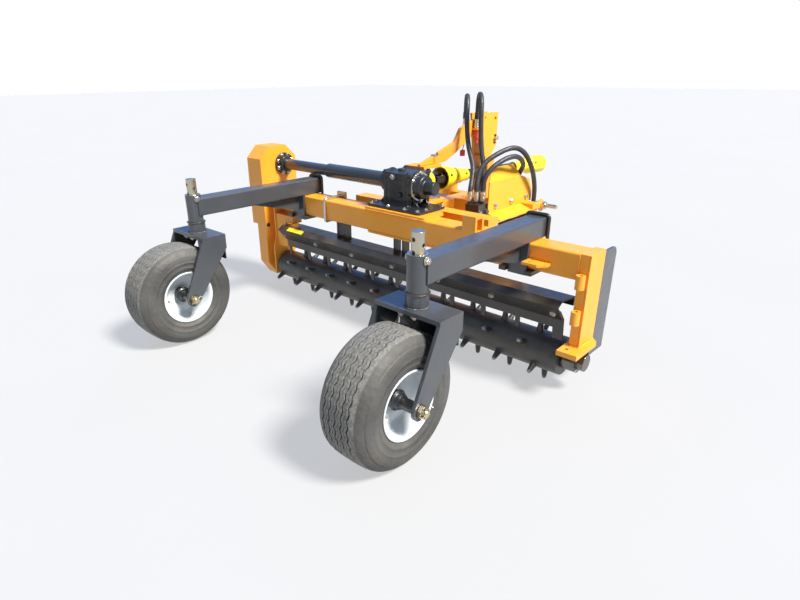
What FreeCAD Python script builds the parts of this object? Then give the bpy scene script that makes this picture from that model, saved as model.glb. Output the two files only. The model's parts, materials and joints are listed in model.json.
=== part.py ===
"""Three-point-hitch power rake: a toothed roller on a beam, two caster wheels behind it and a
swinging tractor hitch in front.  Millimetres.  X to the machine's right, Y forward, Z up.

Everything is drawn in a working frame whose X = 0 is midway between the wheels and whose floor is
Z = 0.  write() moves each piece so that the origin is the middle of the machine's floor rectangle.
"""
import FreeCAD, Part
import math
import os

os.makedirs("parts", exist_ok=True)
V = FreeCAD.Vector
X, Y, Z = V(1, 0, 0), V(0, 1, 0), V(0, 0, 1)

# ------------------------------------------------------------------ driving dimensions
FIT = 0.1             # radial clearance of a pin or shaft in its bore
GAP = 0.3             # clearance between bodies that turn on one another

# main beam
BEAM_BOTTOM = 466.0
BEAM_H = 101.0
BEAM_REAR = -20.0
BEAM_D = 107.0
BEAM_WALL = 8.0
BAR = 10.0            # square bar welded under the beam's rear edge
BAR_LEFT = -155.0
BAR_RIGHT = 585.0

# right end of the frame
POST_X = 894.0        # inner face of the right post
POST_W = 36.0
POST_D = 120.0
SIDE_PLATE_T = 6.0
POST_FOOT_TOP = 209.0
FOOT_T = 20.0
GUARD_T = 8.0
GUARD_FRONT = 220.0
GUARD_BOTTOM = 130.0
LUG_R = 17.0
LUG_BORE_R = 8.0
LUG_H = 52.0
LUG_BOTTOMS = (307.0, 445.0)

# roller
ROLL_Y = 40.0
ROLL_Z = 128.0
DRUM_R = 77.0
DRUM_WALL = 9.0
DRUM_LEFT_GAP = 70.0  # from the chain case to the drum
DRUM_RIGHT_GAP = 32.0  # from the drum to the post
TOOTH_PITCH = 162.0
TOOTH_MARGIN = 47.0   # from the drum's end to the first tooth
TOOTH_ROOT_R = 15.0
TOOTH_TIP_R = 9.0
TOOTH_ROWS = [(270, 0.0), (210, -17.0), (150, -75.0), (90, -40.0), (30, -60.0), (330, -30.0)]
ROLL_SHAFT_R = 25.0
BEARING_REACH = 55.0  # of the left bearing, inwards from the chain case

# barrier over the roller
BARRIER_LEFT_GAP = 150.0
BARRIER_RIGHT_GAP = 32.0

# chain case on the left
CASE_FACE = -950.0    # inner face
CASE_T = 80.0
CASE_WALL = 5.0
CASE_COVER_T = 44.0
CASE_REAR = -50.0
CASE_FRONT = 193.0
CASE_TOP = 789.0
CASE_CHAMFER = 64.0
CASE_COVER_BOTTOM = 355.0
CASE_BOTTOM = 54.0

# gearbox and side shaft
SHAFT_Y = 108.0
SHAFT_LIFT = 121.0    # above the beam's top
TUBE_BIG_R = 36.0
TUBE_SMALL_R = 29.0
TUBE_STEP_X = -560.0
TUBE_WALL = 5.0
FLANGE_R = 60.0
BOX_LEFT = -123.0
BOX_W = 158.0
BOX_REAR = 50.0
BOX_D = 158.0
BOX_BASE_T = 12.0
BOX_H = 160.0
COVER_R = 62.0
COVER_STUB_X = 139.0

# swinging hitch
HITCH_X = -46.0       # middle of the hitch, and of the gearbox input
PIVOT_Y = 335.0       # swing axis, through the first universal joint
TURRET_T = 12.0
TURRET_LEFT = -165.0
TURRET_RIGHT = 190.0
TURRET_LIP = 6.0      # overhang of the upper plate behind the beam
PIN_R = 25.0
UPPER_PIN_R = 12.0
SLEEVE_R = 45.0
CROSS_REAR = 200.0
CROSS_D = 80.0
CROSS_BOTTOM = BEAM_BOTTOM + 14.0
CROSS_H = BEAM_H - 21.0
CROSS_RIGHT = 370.0
RAIL_X = 200.0        # outer face of the right rail
FRAME_BOTTOM = BEAM_BOTTOM + 28.0
FRAME_H = BEAM_H - 35.0
FRONT_TUBE_Y = 760.0
FRONT_TUBE_D = 70.0
FRONT_TUBE_H = 28.0
HITCH_WALL = 5.0
MIDDLE_TUBE_Y = 470.0
RAIL_W = 38.0
HITCH_SPREAD = 683.0  # between the shoulders of the lower hitch pins
COLLAR_W = 20.0
LUG_T = 16.0
LOWER_PIN_R = 11.0
LOWER_PIN_L = 62.0
LOWER_PIN_Y = 862.0
LOWER_PIN_Z = 503.0
MAST_GAP = 52.0
MAST_T = 12.0
MAST_H = 215.0
TOP_PIN_R = 9.5
PARKED_PIN = (801.0, 86.0)  # y, and height above the mast's base
PORTAL_LIFT = 180.0   # of bridge and arch above the beam's top
PORTAL_HALF = 80.0    # from the hitch's middle to the post of the turret's bridge
ARCH_HALF = 36.0      # inner half width of the mast's arch over the drive line

# hose ends
SHELF_T = 12.0
UNION_TOP = 594.0
UNIONS = [(134.0, 392.0), (158.0, 410.0), (142.0, 446.0), (180.0, 432.0)]
COUPLERS_X = (-20.0, -92.0)
COUPLER_Y = 645.0
COUPLER_TOP = 940.0
EAR_Z = 884.0
EAR_T = 8.0

# drive line to the tractor
PTO_LIFT = 105.0      # above the beam's top, at the swing axis
PTO_DROOP = 2.2       # degrees
PTO_END = 1050.0      # from the swing axis to the tractor-side mouth
PTO_BELL_R = 52.0
GUARD_TUBE_R = 25.0
GUARD_WALL = 4.0

# hydraulic cylinder
CYL_X = 235.0
CYL_Z = 438.0
CYL_R = 28.0
ROD_R = 15.0
ANCHOR_Y = 140.0
CYL_HEAD_Y = 800.0
EYE_T = 26.0
CYL_PIN_R = 12.0
EYE_SLACK = 8.0       # play of the rod's eye on its pin
CYL_OPEN_R = 30.0     # half width of the forks round both eyes
GLAND_Y = 470.0
PORT_R = 12.0
CAP_PORT = (225.0, 856.0, 470.0)
ROD_PORT = (142.0, 735.0, 478.0)

# casters
CASTER_X = 658.0
CASTER_Y = -629.0
TRAIL = 132.0
TYRE_R = 228.0
TYRE_W = 198.0
RIM_R = 108.0
HUB_R = 32.0
AXLE_R = 12.5
STEM_R = 22.0
STEM_UP = 69.0        # length of the stem above its sleeve
STEM_HOLE_R = 6.5
STEM_HOLES_ALONG = (6.0, 46.0)  # heights of the fore-and-aft holes above the sleeve
STEM_HOLE_ACROSS = 28.0
STEM_SLEEVE_R = 34.0
SLEEVE_BELOW = 26.0   # below the arm
SLEEVE_ABOVE = 15.0   # above the arm
SET_BOLT_R = 7.0
SET_BOLT_HEAD_R = 11.0
SET_BOLT_DROP = 17.0  # below the sleeve's top
GROOVE_D = 4.0
TYRE_CLEARANCE = 22.0
FORK_PLATE_T = 14.0
FORK_W = 265.0
FORK_LEG_T = 12.0
FORK_AHEAD = 62.0     # of the stem
FORK_BEHIND = 53.0
ARM = 80.0
ARM_WALL = 8.0
ARM_FRONT = 106.0
SECOND_BOLT_X = 455.0

# derived places
BEAM_TOP = BEAM_BOTTOM + BEAM_H
BEAM_FRONT = BEAM_REAR + BEAM_D
BEAM_LEFT = CASE_FACE + 4
DRUM_LEFT = CASE_FACE + DRUM_LEFT_GAP
DRUM_RIGHT = POST_X - DRUM_RIGHT_GAP
BARRIER_LEFT = CASE_FACE + BARRIER_LEFT_GAP
BARRIER_RIGHT = POST_X - BARRIER_RIGHT_GAP
TOOTH_FIRST = DRUM_LEFT + TOOTH_MARGIN
TOOTH_COUNT = int((DRUM_RIGHT - TOOTH_FIRST) / TOOTH_PITCH) + 1
SHAFT_Z = BEAM_TOP + SHAFT_LIFT
PTO_Z = BEAM_TOP + PTO_LIFT
PORTAL_TOP = BEAM_TOP + PORTAL_LIFT
MAST_TOP = PORTAL_TOP + MAST_H
SLEEVE_BOTTOM = BEAM_TOP - SLEEVE_BELOW
SLEEVE_TOP = BEAM_TOP + ARM + SLEEVE_ABOVE
STEM_TOP = SLEEVE_TOP + STEM_UP
FORK_TOP = 2 * TYRE_R + TYRE_CLEARANCE + FORK_PLATE_T
POST_OUT = POST_X + POST_W
CAP_OUT = POST_OUT + 20
SIDE_OUT = POST_OUT + SIDE_PLATE_T
CASE_OUT = CASE_FACE - CASE_T
COVER_OUT = CASE_OUT - CASE_COVER_T
HALF_FRONT = HITCH_SPREAD / 2 - COLLAR_W
AXLE_Y = CASTER_Y - TRAIL
PTO_MOUTH_Y = (PIVOT_Y + PTO_END * math.cos(math.radians(PTO_DROOP))
               + PTO_BELL_R * math.sin(math.radians(PTO_DROOP)))
MIDDLE = V((COVER_OUT + CAP_OUT) / 2, (AXLE_Y - TYRE_R + PTO_MOUTH_Y) / 2, 0)


# ------------------------------------------------------------------ helpers
def box(x0, x1, y0, y1, z0, z1):
    """Block between two opposite corners."""
    low = V(min(x0, x1), min(y0, y1), min(z0, z1))
    return Part.makeBox(abs(x1 - x0), abs(y1 - y0), abs(z1 - z0), low)


def rod(radius, start, direction, length):
    """Solid cylinder."""
    return Part.makeCylinder(radius, length, start, direction)


def cone(r0, r1, start, direction, length):
    return Part.makeCone(r0, r1, length, start, direction)


def ring(outer, inner, start, direction, length):
    """Tube with a round bore."""
    return rod(outer, start, direction, length).cut(rod(inner, start, direction, length))


def fuse(first, *others):
    return first.multiFuse(list(others)).removeSplitter()


def cut(shape, *tools):
    return shape.cut(list(tools)) if len(tools) > 1 else shape.cut(tools[0])


def slab(points, direction, length):
    """Closed outline pushed straight along a direction."""
    wire = Part.makePolygon(points + [points[0]])
    return Part.Face(wire).extrude(direction * length)


def side_plate(x0, x1, outline):
    """Plate across X with an outline of (y, z) corners."""
    return slab([V(x0, y, z) for y, z in outline], X, x1 - x0)


def flat_plate(z0, z1, outline):
    """Level plate with an outline of (x, y) corners."""
    return slab([V(x, y, z0) for x, y in outline], Z, z1 - z0)


def rounded(shape, direction, radius):
    """Rounds every straight edge that runs along a direction."""
    picked = []
    for edge in shape.Edges:
        if edge.Curve.TypeId == "Part::GeomLine":
            along = edge.tangentAt(edge.FirstParameter)
            if abs(along.dot(direction)) > 0.999:
                picked.append(edge)
    return shape.makeFillet(radius, picked)


def square_tube(x0, x1, y0, y1, z0, z1, direction, wall, corner=8.0):
    """Rolled box section with rounded corners, open at both ends."""
    outer = rounded(box(x0, x1, y0, y1, z0, z1), direction, corner)
    inset = [wall if direction.dot(axis) == 0 else 0 for axis in (X, Y, Z)]
    ix, iy, iz = inset
    inner = box(x0 + ix, x1 - ix, y0 + iy, y1 - iy, z0 + iz, z1 - iz)
    return outer.cut(rounded(inner, direction, corner - wall / 2))


def mirrored(shape):
    """The same piece on the machine's other side."""
    return shape.mirror(V(0, 0, 0), X)


def write(name, shape):
    """Moves a piece to the machine's own origin and writes it."""
    moved = shape.copy()
    moved.translate(MIDDLE.negative())
    moved.exportStep(f"parts/{name}.step")
    print(name, len(moved.Solids), round(moved.Volume / 1000), "cm3", moved.isValid())


# ------------------------------------------------------------------ main frame
def main_beam():
    """The box beam that everything hangs on, with a stiffening bar under its rear edge."""
    tube = square_tube(BEAM_LEFT, POST_X, BEAM_REAR, BEAM_FRONT, BEAM_BOTTOM, BEAM_TOP, X, BEAM_WALL)
    flat = BEAM_REAR + BEAM_WALL + 1
    bar = box(BAR_LEFT, BAR_RIGHT, BEAM_REAR, BEAM_REAR + BAR, BEAM_BOTTOM - BAR, BEAM_BOTTOM + 1)
    bar = fuse(bar, box(BAR_LEFT, BAR_RIGHT, BEAM_REAR, flat, BEAM_BOTTOM, BEAM_BOTTOM + BEAM_WALL))
    return fuse(tube, bar)


def beam_brackets():
    """Welded brackets: a C bracket on the rear face, a pin-holder plate and the cylinder's anchor."""
    t = 12
    width = (394.0, 458.0)
    bracket_top = 628.0
    c_bracket = fuse(
        box(*width, BEAM_REAR - t, BEAM_REAR, 480, bracket_top),
        box(*width, BEAM_REAR, 28, bracket_top - t, bracket_top),
        box(*width, 16, 28, BEAM_TOP, bracket_top - t),
    )
    z = 500.0
    plate = flat_plate(z, z + 10, [(699, BEAM_REAR), (699, -78), (762, -78), (790, -50), (790, BEAM_REAR)])
    holes = [rod(6, V(719, -32, z), Z, 10), rod(6, V(719, -58, z), Z, 10)]
    holder = cut(plate, *holes)
    anchor = cylinder_anchor()
    return Part.makeCompound([c_bracket, holder, anchor])


def cylinder_anchor():
    """Fork under the beam that carries the pin of the rod's eye."""
    half = CYL_OPEN_R
    ear_top = CYL_Z + EYE_T / 2 + 2
    ear_low = CYL_Z - EYE_T / 2 - 2
    ends = ANCHOR_Y + half
    upper = box(CYL_X - half, CYL_X + half, 30, ends, ear_top, BEAM_BOTTOM)
    lower = box(CYL_X - half, CYL_X + half, 80, ends, ear_low - 12, ear_low)
    web = box(CYL_X - half, CYL_X + half, 80, 92, ear_low, ear_top)
    pin = rod(CYL_PIN_R, V(CYL_X, ANCHOR_Y, ear_low - 18), Z, BEAM_BOTTOM - ear_low + 24)
    return fuse(upper, lower, web, pin)


def right_end_post():
    """Post at the beam's right end: tube, outer side plate, foot plate and two bored lugs."""
    post = square_tube(POST_X, POST_OUT, BEAM_REAR, BEAM_REAR + POST_D, POST_FOOT_TOP, BEAM_TOP, Z,
                       BEAM_WALL, 6.0)
    front = BEAM_REAR + POST_D
    skin = box(POST_OUT, SIDE_OUT, BEAM_REAR, front, POST_FOOT_TOP, BEAM_TOP)
    lid = box(POST_X + 2, POST_OUT - 2, BEAM_REAR + 2, front - 2, BEAM_TOP - 6, BEAM_TOP)
    x0 = POST_X - 14
    rear = BEAM_REAR - 66
    under = POST_FOOT_TOP - FOOT_T
    foot = flat_plate(under, POST_FOOT_TOP, [(x0, rear), (SIDE_OUT + 24, rear), (SIDE_OUT + 24, front - 20),
                                             (SIDE_OUT + 4, front), (x0, front)])
    foot = foot.cut(rod(8, V(POST_X + 10, rear + 32, under), Z, FOOT_T))
    lugs = []
    for z0 in LUG_BOTTOMS:
        centre = V(POST_X + LUG_R + 4, BEAM_REAR - LUG_R - 3, z0)
        boss = rod(LUG_R, centre, Z, LUG_H)
        web = box(centre.x - 8, centre.x + 8, centre.y, BEAM_REAR + 1, z0 + 4, z0 + LUG_H - 4)
        lugs.append(cut(fuse(boss, web), rod(LUG_BORE_R, centre, Z, LUG_H)))
    return fuse(post, lid, skin, foot, *lugs)


def end_guard():
    """Flat steel guard in front of the right post, with a rounded upper corner."""
    x0 = POST_OUT - GUARD_T
    front = BEAM_REAR + POST_D
    top = BEAM_TOP - 12
    plate = box(x0, POST_OUT, front, GUARD_FRONT, GUARD_BOTTOM, top)
    corner = [e for e in plate.Edges if abs(e.CenterOfMass.y - GUARD_FRONT) < 1
              and abs(e.CenterOfMass.z - top) < 1 and e.Length < GUARD_T + 1]
    return plate.makeFillet(34, corner)


def left_end_bracket():
    """Stepped bracket between the beam, the chain case and the roller's left bearing."""
    x0 = CASE_FACE + BEARING_REACH
    x1 = x0 - 10
    end = x0 + 153
    t = 8.0
    step = 424.0
    hanger = side_plate(x1, x0, [(-40, 78), (95, 78), (95, BEAM_BOTTOM), (BEAM_REAR, BEAM_BOTTOM),
                                 (BEAM_REAR, 300), (-40, 240)])
    hanger = hanger.cut(rod(ROLL_SHAFT_R + 22, V(x1 - 1, ROLL_Y, ROLL_Z), X, 12))
    rear = BEAM_REAR + 6
    panel = box(x0, end, rear, rear + t, step - 30, step)
    strip = box(x0, BARRIER_LEFT - 6, rear, rear + t, 250, step - 30)
    flange = box(x0, end, rear, 46, step, step + t)
    side = box(end - t, end, rear + t, 46, step - 30, step)
    riser = box(x0, end, 46 - t, 46, step + t, BEAM_BOTTOM)
    return fuse(hanger, panel, strip, flange, side, riser)


# ------------------------------------------------------------------ drive
def case_outline(top, bottom_z):
    """(y, z) corners of the chain case between a top and a level cut."""
    c = CASE_CHAMFER
    upper = [(CASE_REAR, top - c), (CASE_REAR + c, top), (CASE_FRONT - c, top), (CASE_FRONT, top - c)]
    if bottom_z > 200:
        return upper + [(CASE_FRONT, bottom_z), (CASE_REAR, bottom_z)]
    return upper + [(CASE_FRONT, 330), (130, 100), (90, bottom_z), (5, bottom_z), (CASE_REAR, 133)]


def shrunk(outline, wall):
    """The same (y, z) outline moved inwards by a wall."""
    wire = Part.makePolygon([V(0, y, z) for y, z in outline + outline[:1]])
    inner = wire.makeOffset2D(-wall, join=2)
    return [(v.Point.y, v.Point.z) for v in inner.OrderedVertexes]


def chain_case():
    """Inner shell of the chain case, down to the roller's axle, bored for the two shafts."""
    outline = case_outline(CASE_TOP, CASE_BOTTOM)
    body = side_plate(CASE_OUT, CASE_FACE, outline)
    inside = side_plate(CASE_OUT + CASE_WALL, CASE_FACE - CASE_WALL, shrunk(outline, CASE_WALL))
    side_shaft = rod(30, V(CASE_FACE - CASE_WALL - 1, SHAFT_Y, SHAFT_Z), X, CASE_WALL + 2)
    axle = rod(ROLL_SHAFT_R + 5, V(CASE_FACE - CASE_WALL - 1, ROLL_Y, ROLL_Z), X, CASE_WALL + 2)
    return cut(body, inside, side_shaft, axle)


def chain_case_cover():
    """Dished outer cover over the upper part of the case."""
    outline = case_outline(CASE_TOP, CASE_COVER_BOTTOM)
    body = side_plate(COVER_OUT, CASE_OUT, outline)
    return cut(body, side_plate(COVER_OUT + CASE_WALL, CASE_OUT + 1, shrunk(outline, CASE_WALL)))


def case_bearing_flange():
    """Round bearing housing on the case's inner face, where the side shaft enters."""
    start = V(CASE_FACE, SHAFT_Y, SHAFT_Z)
    plate = rod(FLANGE_R, start, X, 14)
    nose = rod(40, start + X * 14, X, 20)
    return fuse(plate, nose)


def drive_tube():
    """Two-diameter guard tube of the side shaft, from the case's bearing to the gearbox."""
    x0 = CASE_FACE + 34
    bore = TUBE_SMALL_R - TUBE_WALL
    small = rod(TUBE_SMALL_R, V(x0, SHAFT_Y, SHAFT_Z), X, TUBE_STEP_X - x0)
    big = rod(TUBE_BIG_R, V(TUBE_STEP_X, SHAFT_Y, SHAFT_Z), X, BOX_LEFT - 20 - TUBE_STEP_X)
    end = rod(54, V(BOX_LEFT - 20, SHAFT_Y, SHAFT_Z), X, 20)
    inside = rod(bore, V(x0 - 1, SHAFT_Y, SHAFT_Z), X, BOX_LEFT - x0 - 7)
    wide = rod(TUBE_BIG_R - TUBE_WALL, V(TUBE_STEP_X + 5, SHAFT_Y, SHAFT_Z), X,
               BOX_LEFT - 20 - TUBE_STEP_X - 10)
    return fuse(small, big, end).cut([inside, wide])


def gearbox():
    """Cast right-angle gearbox on its base flange."""
    z0 = BEAM_TOP + TURRET_T
    body = box(BOX_LEFT, BOX_LEFT + BOX_W, BOX_REAR, BOX_REAR + BOX_D, z0 + BOX_BASE_T, z0 + BOX_H)
    body = rounded(body, Z, 16)
    base = box(BOX_LEFT - 60, BOX_LEFT + BOX_W + 111, BOX_REAR - 56, BOX_REAR + BOX_D - 20, z0,
               z0 + BOX_BASE_T)
    plug = rod(16, V(-58, BOX_REAR + 60, z0 + BOX_H), Z, 10)
    front = rod(56, V(HITCH_X, BOX_REAR + BOX_D, PTO_Z), Y, 14)
    return fuse(body, base, plug, front)


def gearbox_side_cover():
    """Flanged round cover on the gearbox's right side, with the stub of the through shaft."""
    x0 = BOX_LEFT + BOX_W
    plate = rod(COVER_R + 8, V(x0, SHAFT_Y + 8, SHAFT_Z - 10), X, 16)
    drum = rod(COVER_R - 8, V(x0 + 16, SHAFT_Y + 8, SHAFT_Z - 10), X, 34)
    stub = rod(30, V(x0 + 50, SHAFT_Y + 8, SHAFT_Z - 10), X, COVER_STUB_X - x0 - 50)
    return fuse(plate, drum, stub)


def input_shield():
    """Yellow cone bolted round the gearbox's input shaft."""
    y0 = BOX_REAR + BOX_D + 14
    outer = cone(56, 50, V(HITCH_X, y0, PTO_Z), Y, 62)
    inner = cone(52, 46, V(HITCH_X, y0, PTO_Z), Y, 62)
    return outer.cut(inner)


def input_yoke():
    """Splined input shaft with the gearbox half of the first universal joint."""
    y0 = BOX_REAR + BOX_D + 14
    shaft = rod(20, V(HITCH_X, y0, PTO_Z), Y, PIVOT_Y - 45 - y0)
    hub = rod(28, V(HITCH_X, PIVOT_Y - 78, PTO_Z), Y, 36)
    arms = [box(HITCH_X - 15, HITCH_X + 15, PIVOT_Y - 45, PIVOT_Y + 14, PTO_Z + s * 22, PTO_Z + s * 34)
            for s in (-1, 1)]
    return fuse(shaft, hub, *arms)


# ------------------------------------------------------------------ swing turret
def swing_turret():
    """Plates above and below the beam that carry the hitch's swing pins, and the bridge over the shaft."""
    nose = 58.0
    front = [(TURRET_RIGHT, 110), (HITCH_X + nose, 262), (HITCH_X + nose, PIVOT_Y),
             (HITCH_X - nose, PIVOT_Y), (HITCH_X - PORTAL_HALF - 12, 292), (TURRET_LEFT, 200)]
    lip = BEAM_REAR - TURRET_LIP
    upper = flat_plate(BEAM_TOP, BEAM_TOP + TURRET_T, [(TURRET_LEFT, lip), (TURRET_RIGHT, lip)] + front)
    rear = BEAM_REAR + BAR
    lower = flat_plate(BEAM_BOTTOM - TURRET_T, BEAM_BOTTOM,
                       [(TURRET_LEFT, rear), (TURRET_RIGHT, rear)] + front)
    plates = []
    for plate, z0 in ((upper, BEAM_TOP), (lower, BEAM_BOTTOM - TURRET_T)):
        round_end = rod(nose, V(HITCH_X, PIVOT_Y, z0), Z, TURRET_T)
        hole = rod(PIN_R + FIT, V(HITCH_X, PIVOT_Y, z0), Z, TURRET_T)
        plates.append(fuse(plate, round_end).cut(hole))
    nose = 34.0
    leg_in = HITCH_X - PORTAL_HALF + 8
    leg_out = HITCH_X - PORTAL_HALF - 6
    leg = box(leg_out, leg_in, 215, 290, BEAM_TOP + TURRET_T, PORTAL_TOP - TURRET_T)
    top_outline = [(leg_out, 215), (HITCH_X + nose, 215), (HITCH_X + nose, PIVOT_Y),
                   (HITCH_X - nose, PIVOT_Y), (leg_out, 290)]
    top = flat_plate(PORTAL_TOP - TURRET_T, PORTAL_TOP, top_outline)
    top = fuse(top, rod(nose, V(HITCH_X, PIVOT_Y, PORTAL_TOP - TURRET_T), Z, TURRET_T))
    top = top.cut(rod(UPPER_PIN_R + FIT, V(HITCH_X, PIVOT_Y, PORTAL_TOP - TURRET_T), Z, TURRET_T))
    upper_body = fuse(plates[0], leg, top)
    return Part.makeCompound([upper_body, plates[1]])


def swing_pins():
    """Main pin through the hitch's sleeve, and the bolt of the upper pivot."""
    low = BEAM_BOTTOM - TURRET_T - 12
    main = rod(PIN_R, V(HITCH_X, PIVOT_Y, low), Z, BEAM_TOP + TURRET_T - low)
    head = rod(36, V(HITCH_X, PIVOT_Y, BEAM_TOP + TURRET_T), Z, 10)
    nut = rod(36, V(HITCH_X, PIVOT_Y, low - 4), Z, 16)
    under = PORTAL_TOP - TURRET_T - 6
    upper = rod(UPPER_PIN_R, V(HITCH_X, PIVOT_Y, under), Z, PORTAL_TOP + 40 - under)
    upper_nut = rod(20, V(HITCH_X, PIVOT_Y, under), Z, 6)
    upper_head = rod(19, V(HITCH_X, PIVOT_Y, PORTAL_TOP + 34.5), Z, 8)
    return Part.makeCompound([fuse(main, head, nut), fuse(upper, upper_nut, upper_head)])


# ------------------------------------------------------------------ hitch
def hitch_tubes():
    """(x0, x1, y0, y1, z0, z1) of every square tube in the hitch, outside measures."""
    z0, z1 = FRAME_BOTTOM, FRAME_BOTTOM + FRAME_H
    mirror_x = 2 * HITCH_X
    tubes = [
        (mirror_x - CROSS_RIGHT, CROSS_RIGHT, CROSS_REAR, CROSS_REAR + CROSS_D, CROSS_BOTTOM,
         CROSS_BOTTOM + CROSS_H),
        (HITCH_X - 36, HITCH_X + 36, CROSS_REAR, FRONT_TUBE_Y + FRONT_TUBE_D, z0, z1),
        (mirror_x - RAIL_X, RAIL_X, MIDDLE_TUBE_Y, MIDDLE_TUBE_Y + 60, z0, z1),
        (RAIL_X - RAIL_W, RAIL_X, MIDDLE_TUBE_Y, FRONT_TUBE_Y + FRONT_TUBE_D, z0, z1),
        (mirror_x - RAIL_X, mirror_x - RAIL_X + RAIL_W, MIDDLE_TUBE_Y, FRONT_TUBE_Y + FRONT_TUBE_D, z0, z1),
        (HITCH_X - HALF_FRONT, HITCH_X + HALF_FRONT, FRONT_TUBE_Y, FRONT_TUBE_Y + FRONT_TUBE_D, z0,
         z0 + FRONT_TUBE_H)]
    return tubes


def hitch_frame():
    """Welded frame of capped tubes that swings, with its sleeve, the lugs and the mast's legs."""
    z0, z1 = FRAME_BOTTOM, FRAME_BOTTOM + FRAME_H
    w = HITCH_WALL
    outer = [box(*sides) for sides in hitch_tubes()]
    inner = []
    for x0, x1, y0, y1, low, high in hitch_tubes():
        inner.append(box(x0 + w, x1 - w, y0 + w, y1 - w, low + w, high - w))
    shell_body = fuse(*outer).cut(fuse(*inner))
    sleeve_low = BEAM_BOTTOM + 1.0
    sleeve_h = BEAM_H - 2.0
    bore = rod(PIN_R + FIT, V(HITCH_X, PIVOT_Y, sleeve_low), Z, sleeve_h)
    sleeve = rod(SLEEVE_R, V(HITCH_X, PIVOT_Y, sleeve_low), Z, sleeve_h)
    lugs = []
    legs = []
    y1 = FRONT_TUBE_Y + FRONT_TUBE_D
    tube_top = z0 + FRONT_TUBE_H
    for s in (-1, 1):
        x_in, x_out = sorted((HITCH_X + s * (HALF_FRONT - LUG_T), HITCH_X + s * HALF_FRONT))
        outline = [(y1 - 1, z0), (LOWER_PIN_Y, z0 - 24), (LOWER_PIN_Y + 30, z0 - 10),
                   (LOWER_PIN_Y + 30, z0 + 20), (LOWER_PIN_Y, tube_top + 12), (y1 - 1, tube_top)]
        lug = side_plate(x_in, x_out, outline)
        lugs.append(lug.cut(rod(LOWER_PIN_R + FIT, V(x_in - 1, LOWER_PIN_Y, LOWER_PIN_Z), X, LUG_T + 2)))
        x_in, x_out = sorted((HITCH_X + s * ARCH_HALF, HITCH_X + s * (ARCH_HALF + 12)))
        legs.append(box(x_in, x_out, 735, 795, tube_top - 1, PORTAL_TOP - TURRET_T))
    deck = box(HITCH_X - ARCH_HALF - 14, HITCH_X + ARCH_HALF + 14, 705, 795, PORTAL_TOP - TURRET_T,
               PORTAL_TOP)
    shelf = box(112, RAIL_X, 372, MIDDLE_TUBE_Y + 1, z0, z0 + SHELF_T)
    body = fuse(shell_body, sleeve, deck, shelf, cylinder_head_ear(), *lugs, *legs)
    return body.cut(bore)


def cylinder_head_ear():
    """Fork under the front tube that carries the barrel's pin."""
    half = CYL_OPEN_R
    ear_top = CYL_Z + EYE_T / 2 + 2
    ear_low = CYL_Z - EYE_T / 2 - 2
    y0 = CYL_HEAD_Y - half
    y1 = CYL_HEAD_Y + half
    x0 = CYL_X - half - 16
    upper = box(x0, CYL_X + half, y0, y1, ear_top, FRAME_BOTTOM + 1)
    lower = box(x0, CYL_X + half, y0, y1, ear_low - 12, ear_low)
    web = box(x0, x0 + 12, y0, y1, ear_low - 1, ear_top + 1)
    pin = rod(CYL_PIN_R, V(CYL_X, CYL_HEAD_Y, ear_low - 18), Z, FRAME_BOTTOM - ear_low + 18)
    return fuse(upper, lower, web, pin)


def mast_plates():
    """Two upright plates that take the tractor's top link."""
    base = PORTAL_TOP
    notch = (752.0, MAST_TOP - 9.0)
    outline = [(672, MAST_TOP), (notch[0] - 7, MAST_TOP), notch, (notch[0] + 7, MAST_TOP),
               (820, MAST_TOP), (820, base + 50), (775, base), (708, base), (700, base + 53)]
    plates = []
    for s in (-1, 1):
        x_in = HITCH_X + s * MAST_GAP / 2
        x_out = HITCH_X + s * (MAST_GAP / 2 + MAST_T)
        plate = side_plate(min(x_in, x_out), max(x_in, x_out), outline)
        for y, z, r in ((700, MAST_TOP - 22, 6.5), (796, MAST_TOP - 30, TOP_PIN_R + FIT),
                        (PARKED_PIN[0], base + PARKED_PIN[1], TOP_PIN_R + FIT)):
            plate = plate.cut(rod(r, V(min(x_in, x_out) - 1, y, z), X, MAST_T + 2))
        plates.append(plate)
    return Part.makeCompound(plates)


def mast_brace():
    """Cranked bar from the upper pivot to the mast, held between the mast plates."""
    rises = [(218, 9), (488, 90), (533, 150), (640, 187), (712, 187), (712, 113), (640, 113),
             (571, 74), (492, 34), (410, 1.5), (218, 1.5)]
    bar = side_plate(HITCH_X - 8, HITCH_X + 8, [(y, PORTAL_TOP + rise) for y, rise in rises])
    half_gap = MAST_GAP / 2
    spacer = box(HITCH_X - half_gap, HITCH_X + half_gap, 690, 712, PORTAL_TOP + 103, PORTAL_TOP + 173)
    hub_r = 22.0
    hub = rod(hub_r, V(HITCH_X, PIVOT_Y, PORTAL_TOP + GAP), Z, 34)
    bore = rod(UPPER_PIN_R + FIT, V(HITCH_X, PIVOT_Y, PORTAL_TOP), Z, 60)
    bar = bar.cut(rod(hub_r, V(HITCH_X, PIVOT_Y, PORTAL_TOP), Z, 100))
    ears = []
    for x, inner in zip(COUPLERS_X, (HITCH_X + 7, HITCH_X - 7)):
        outer = x + (18 if x > HITCH_X else -18)
        ear = box(inner, outer, COUPLER_Y - 18, COUPLER_Y + 18, EAR_Z, EAR_Z + EAR_T)
        ears.append(ear.cut(rod(12 + GAP, V(x, COUPLER_Y, EAR_Z), Z, EAR_T)))
    return fuse(bar, spacer, hub, *ears).cut(bore)


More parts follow.
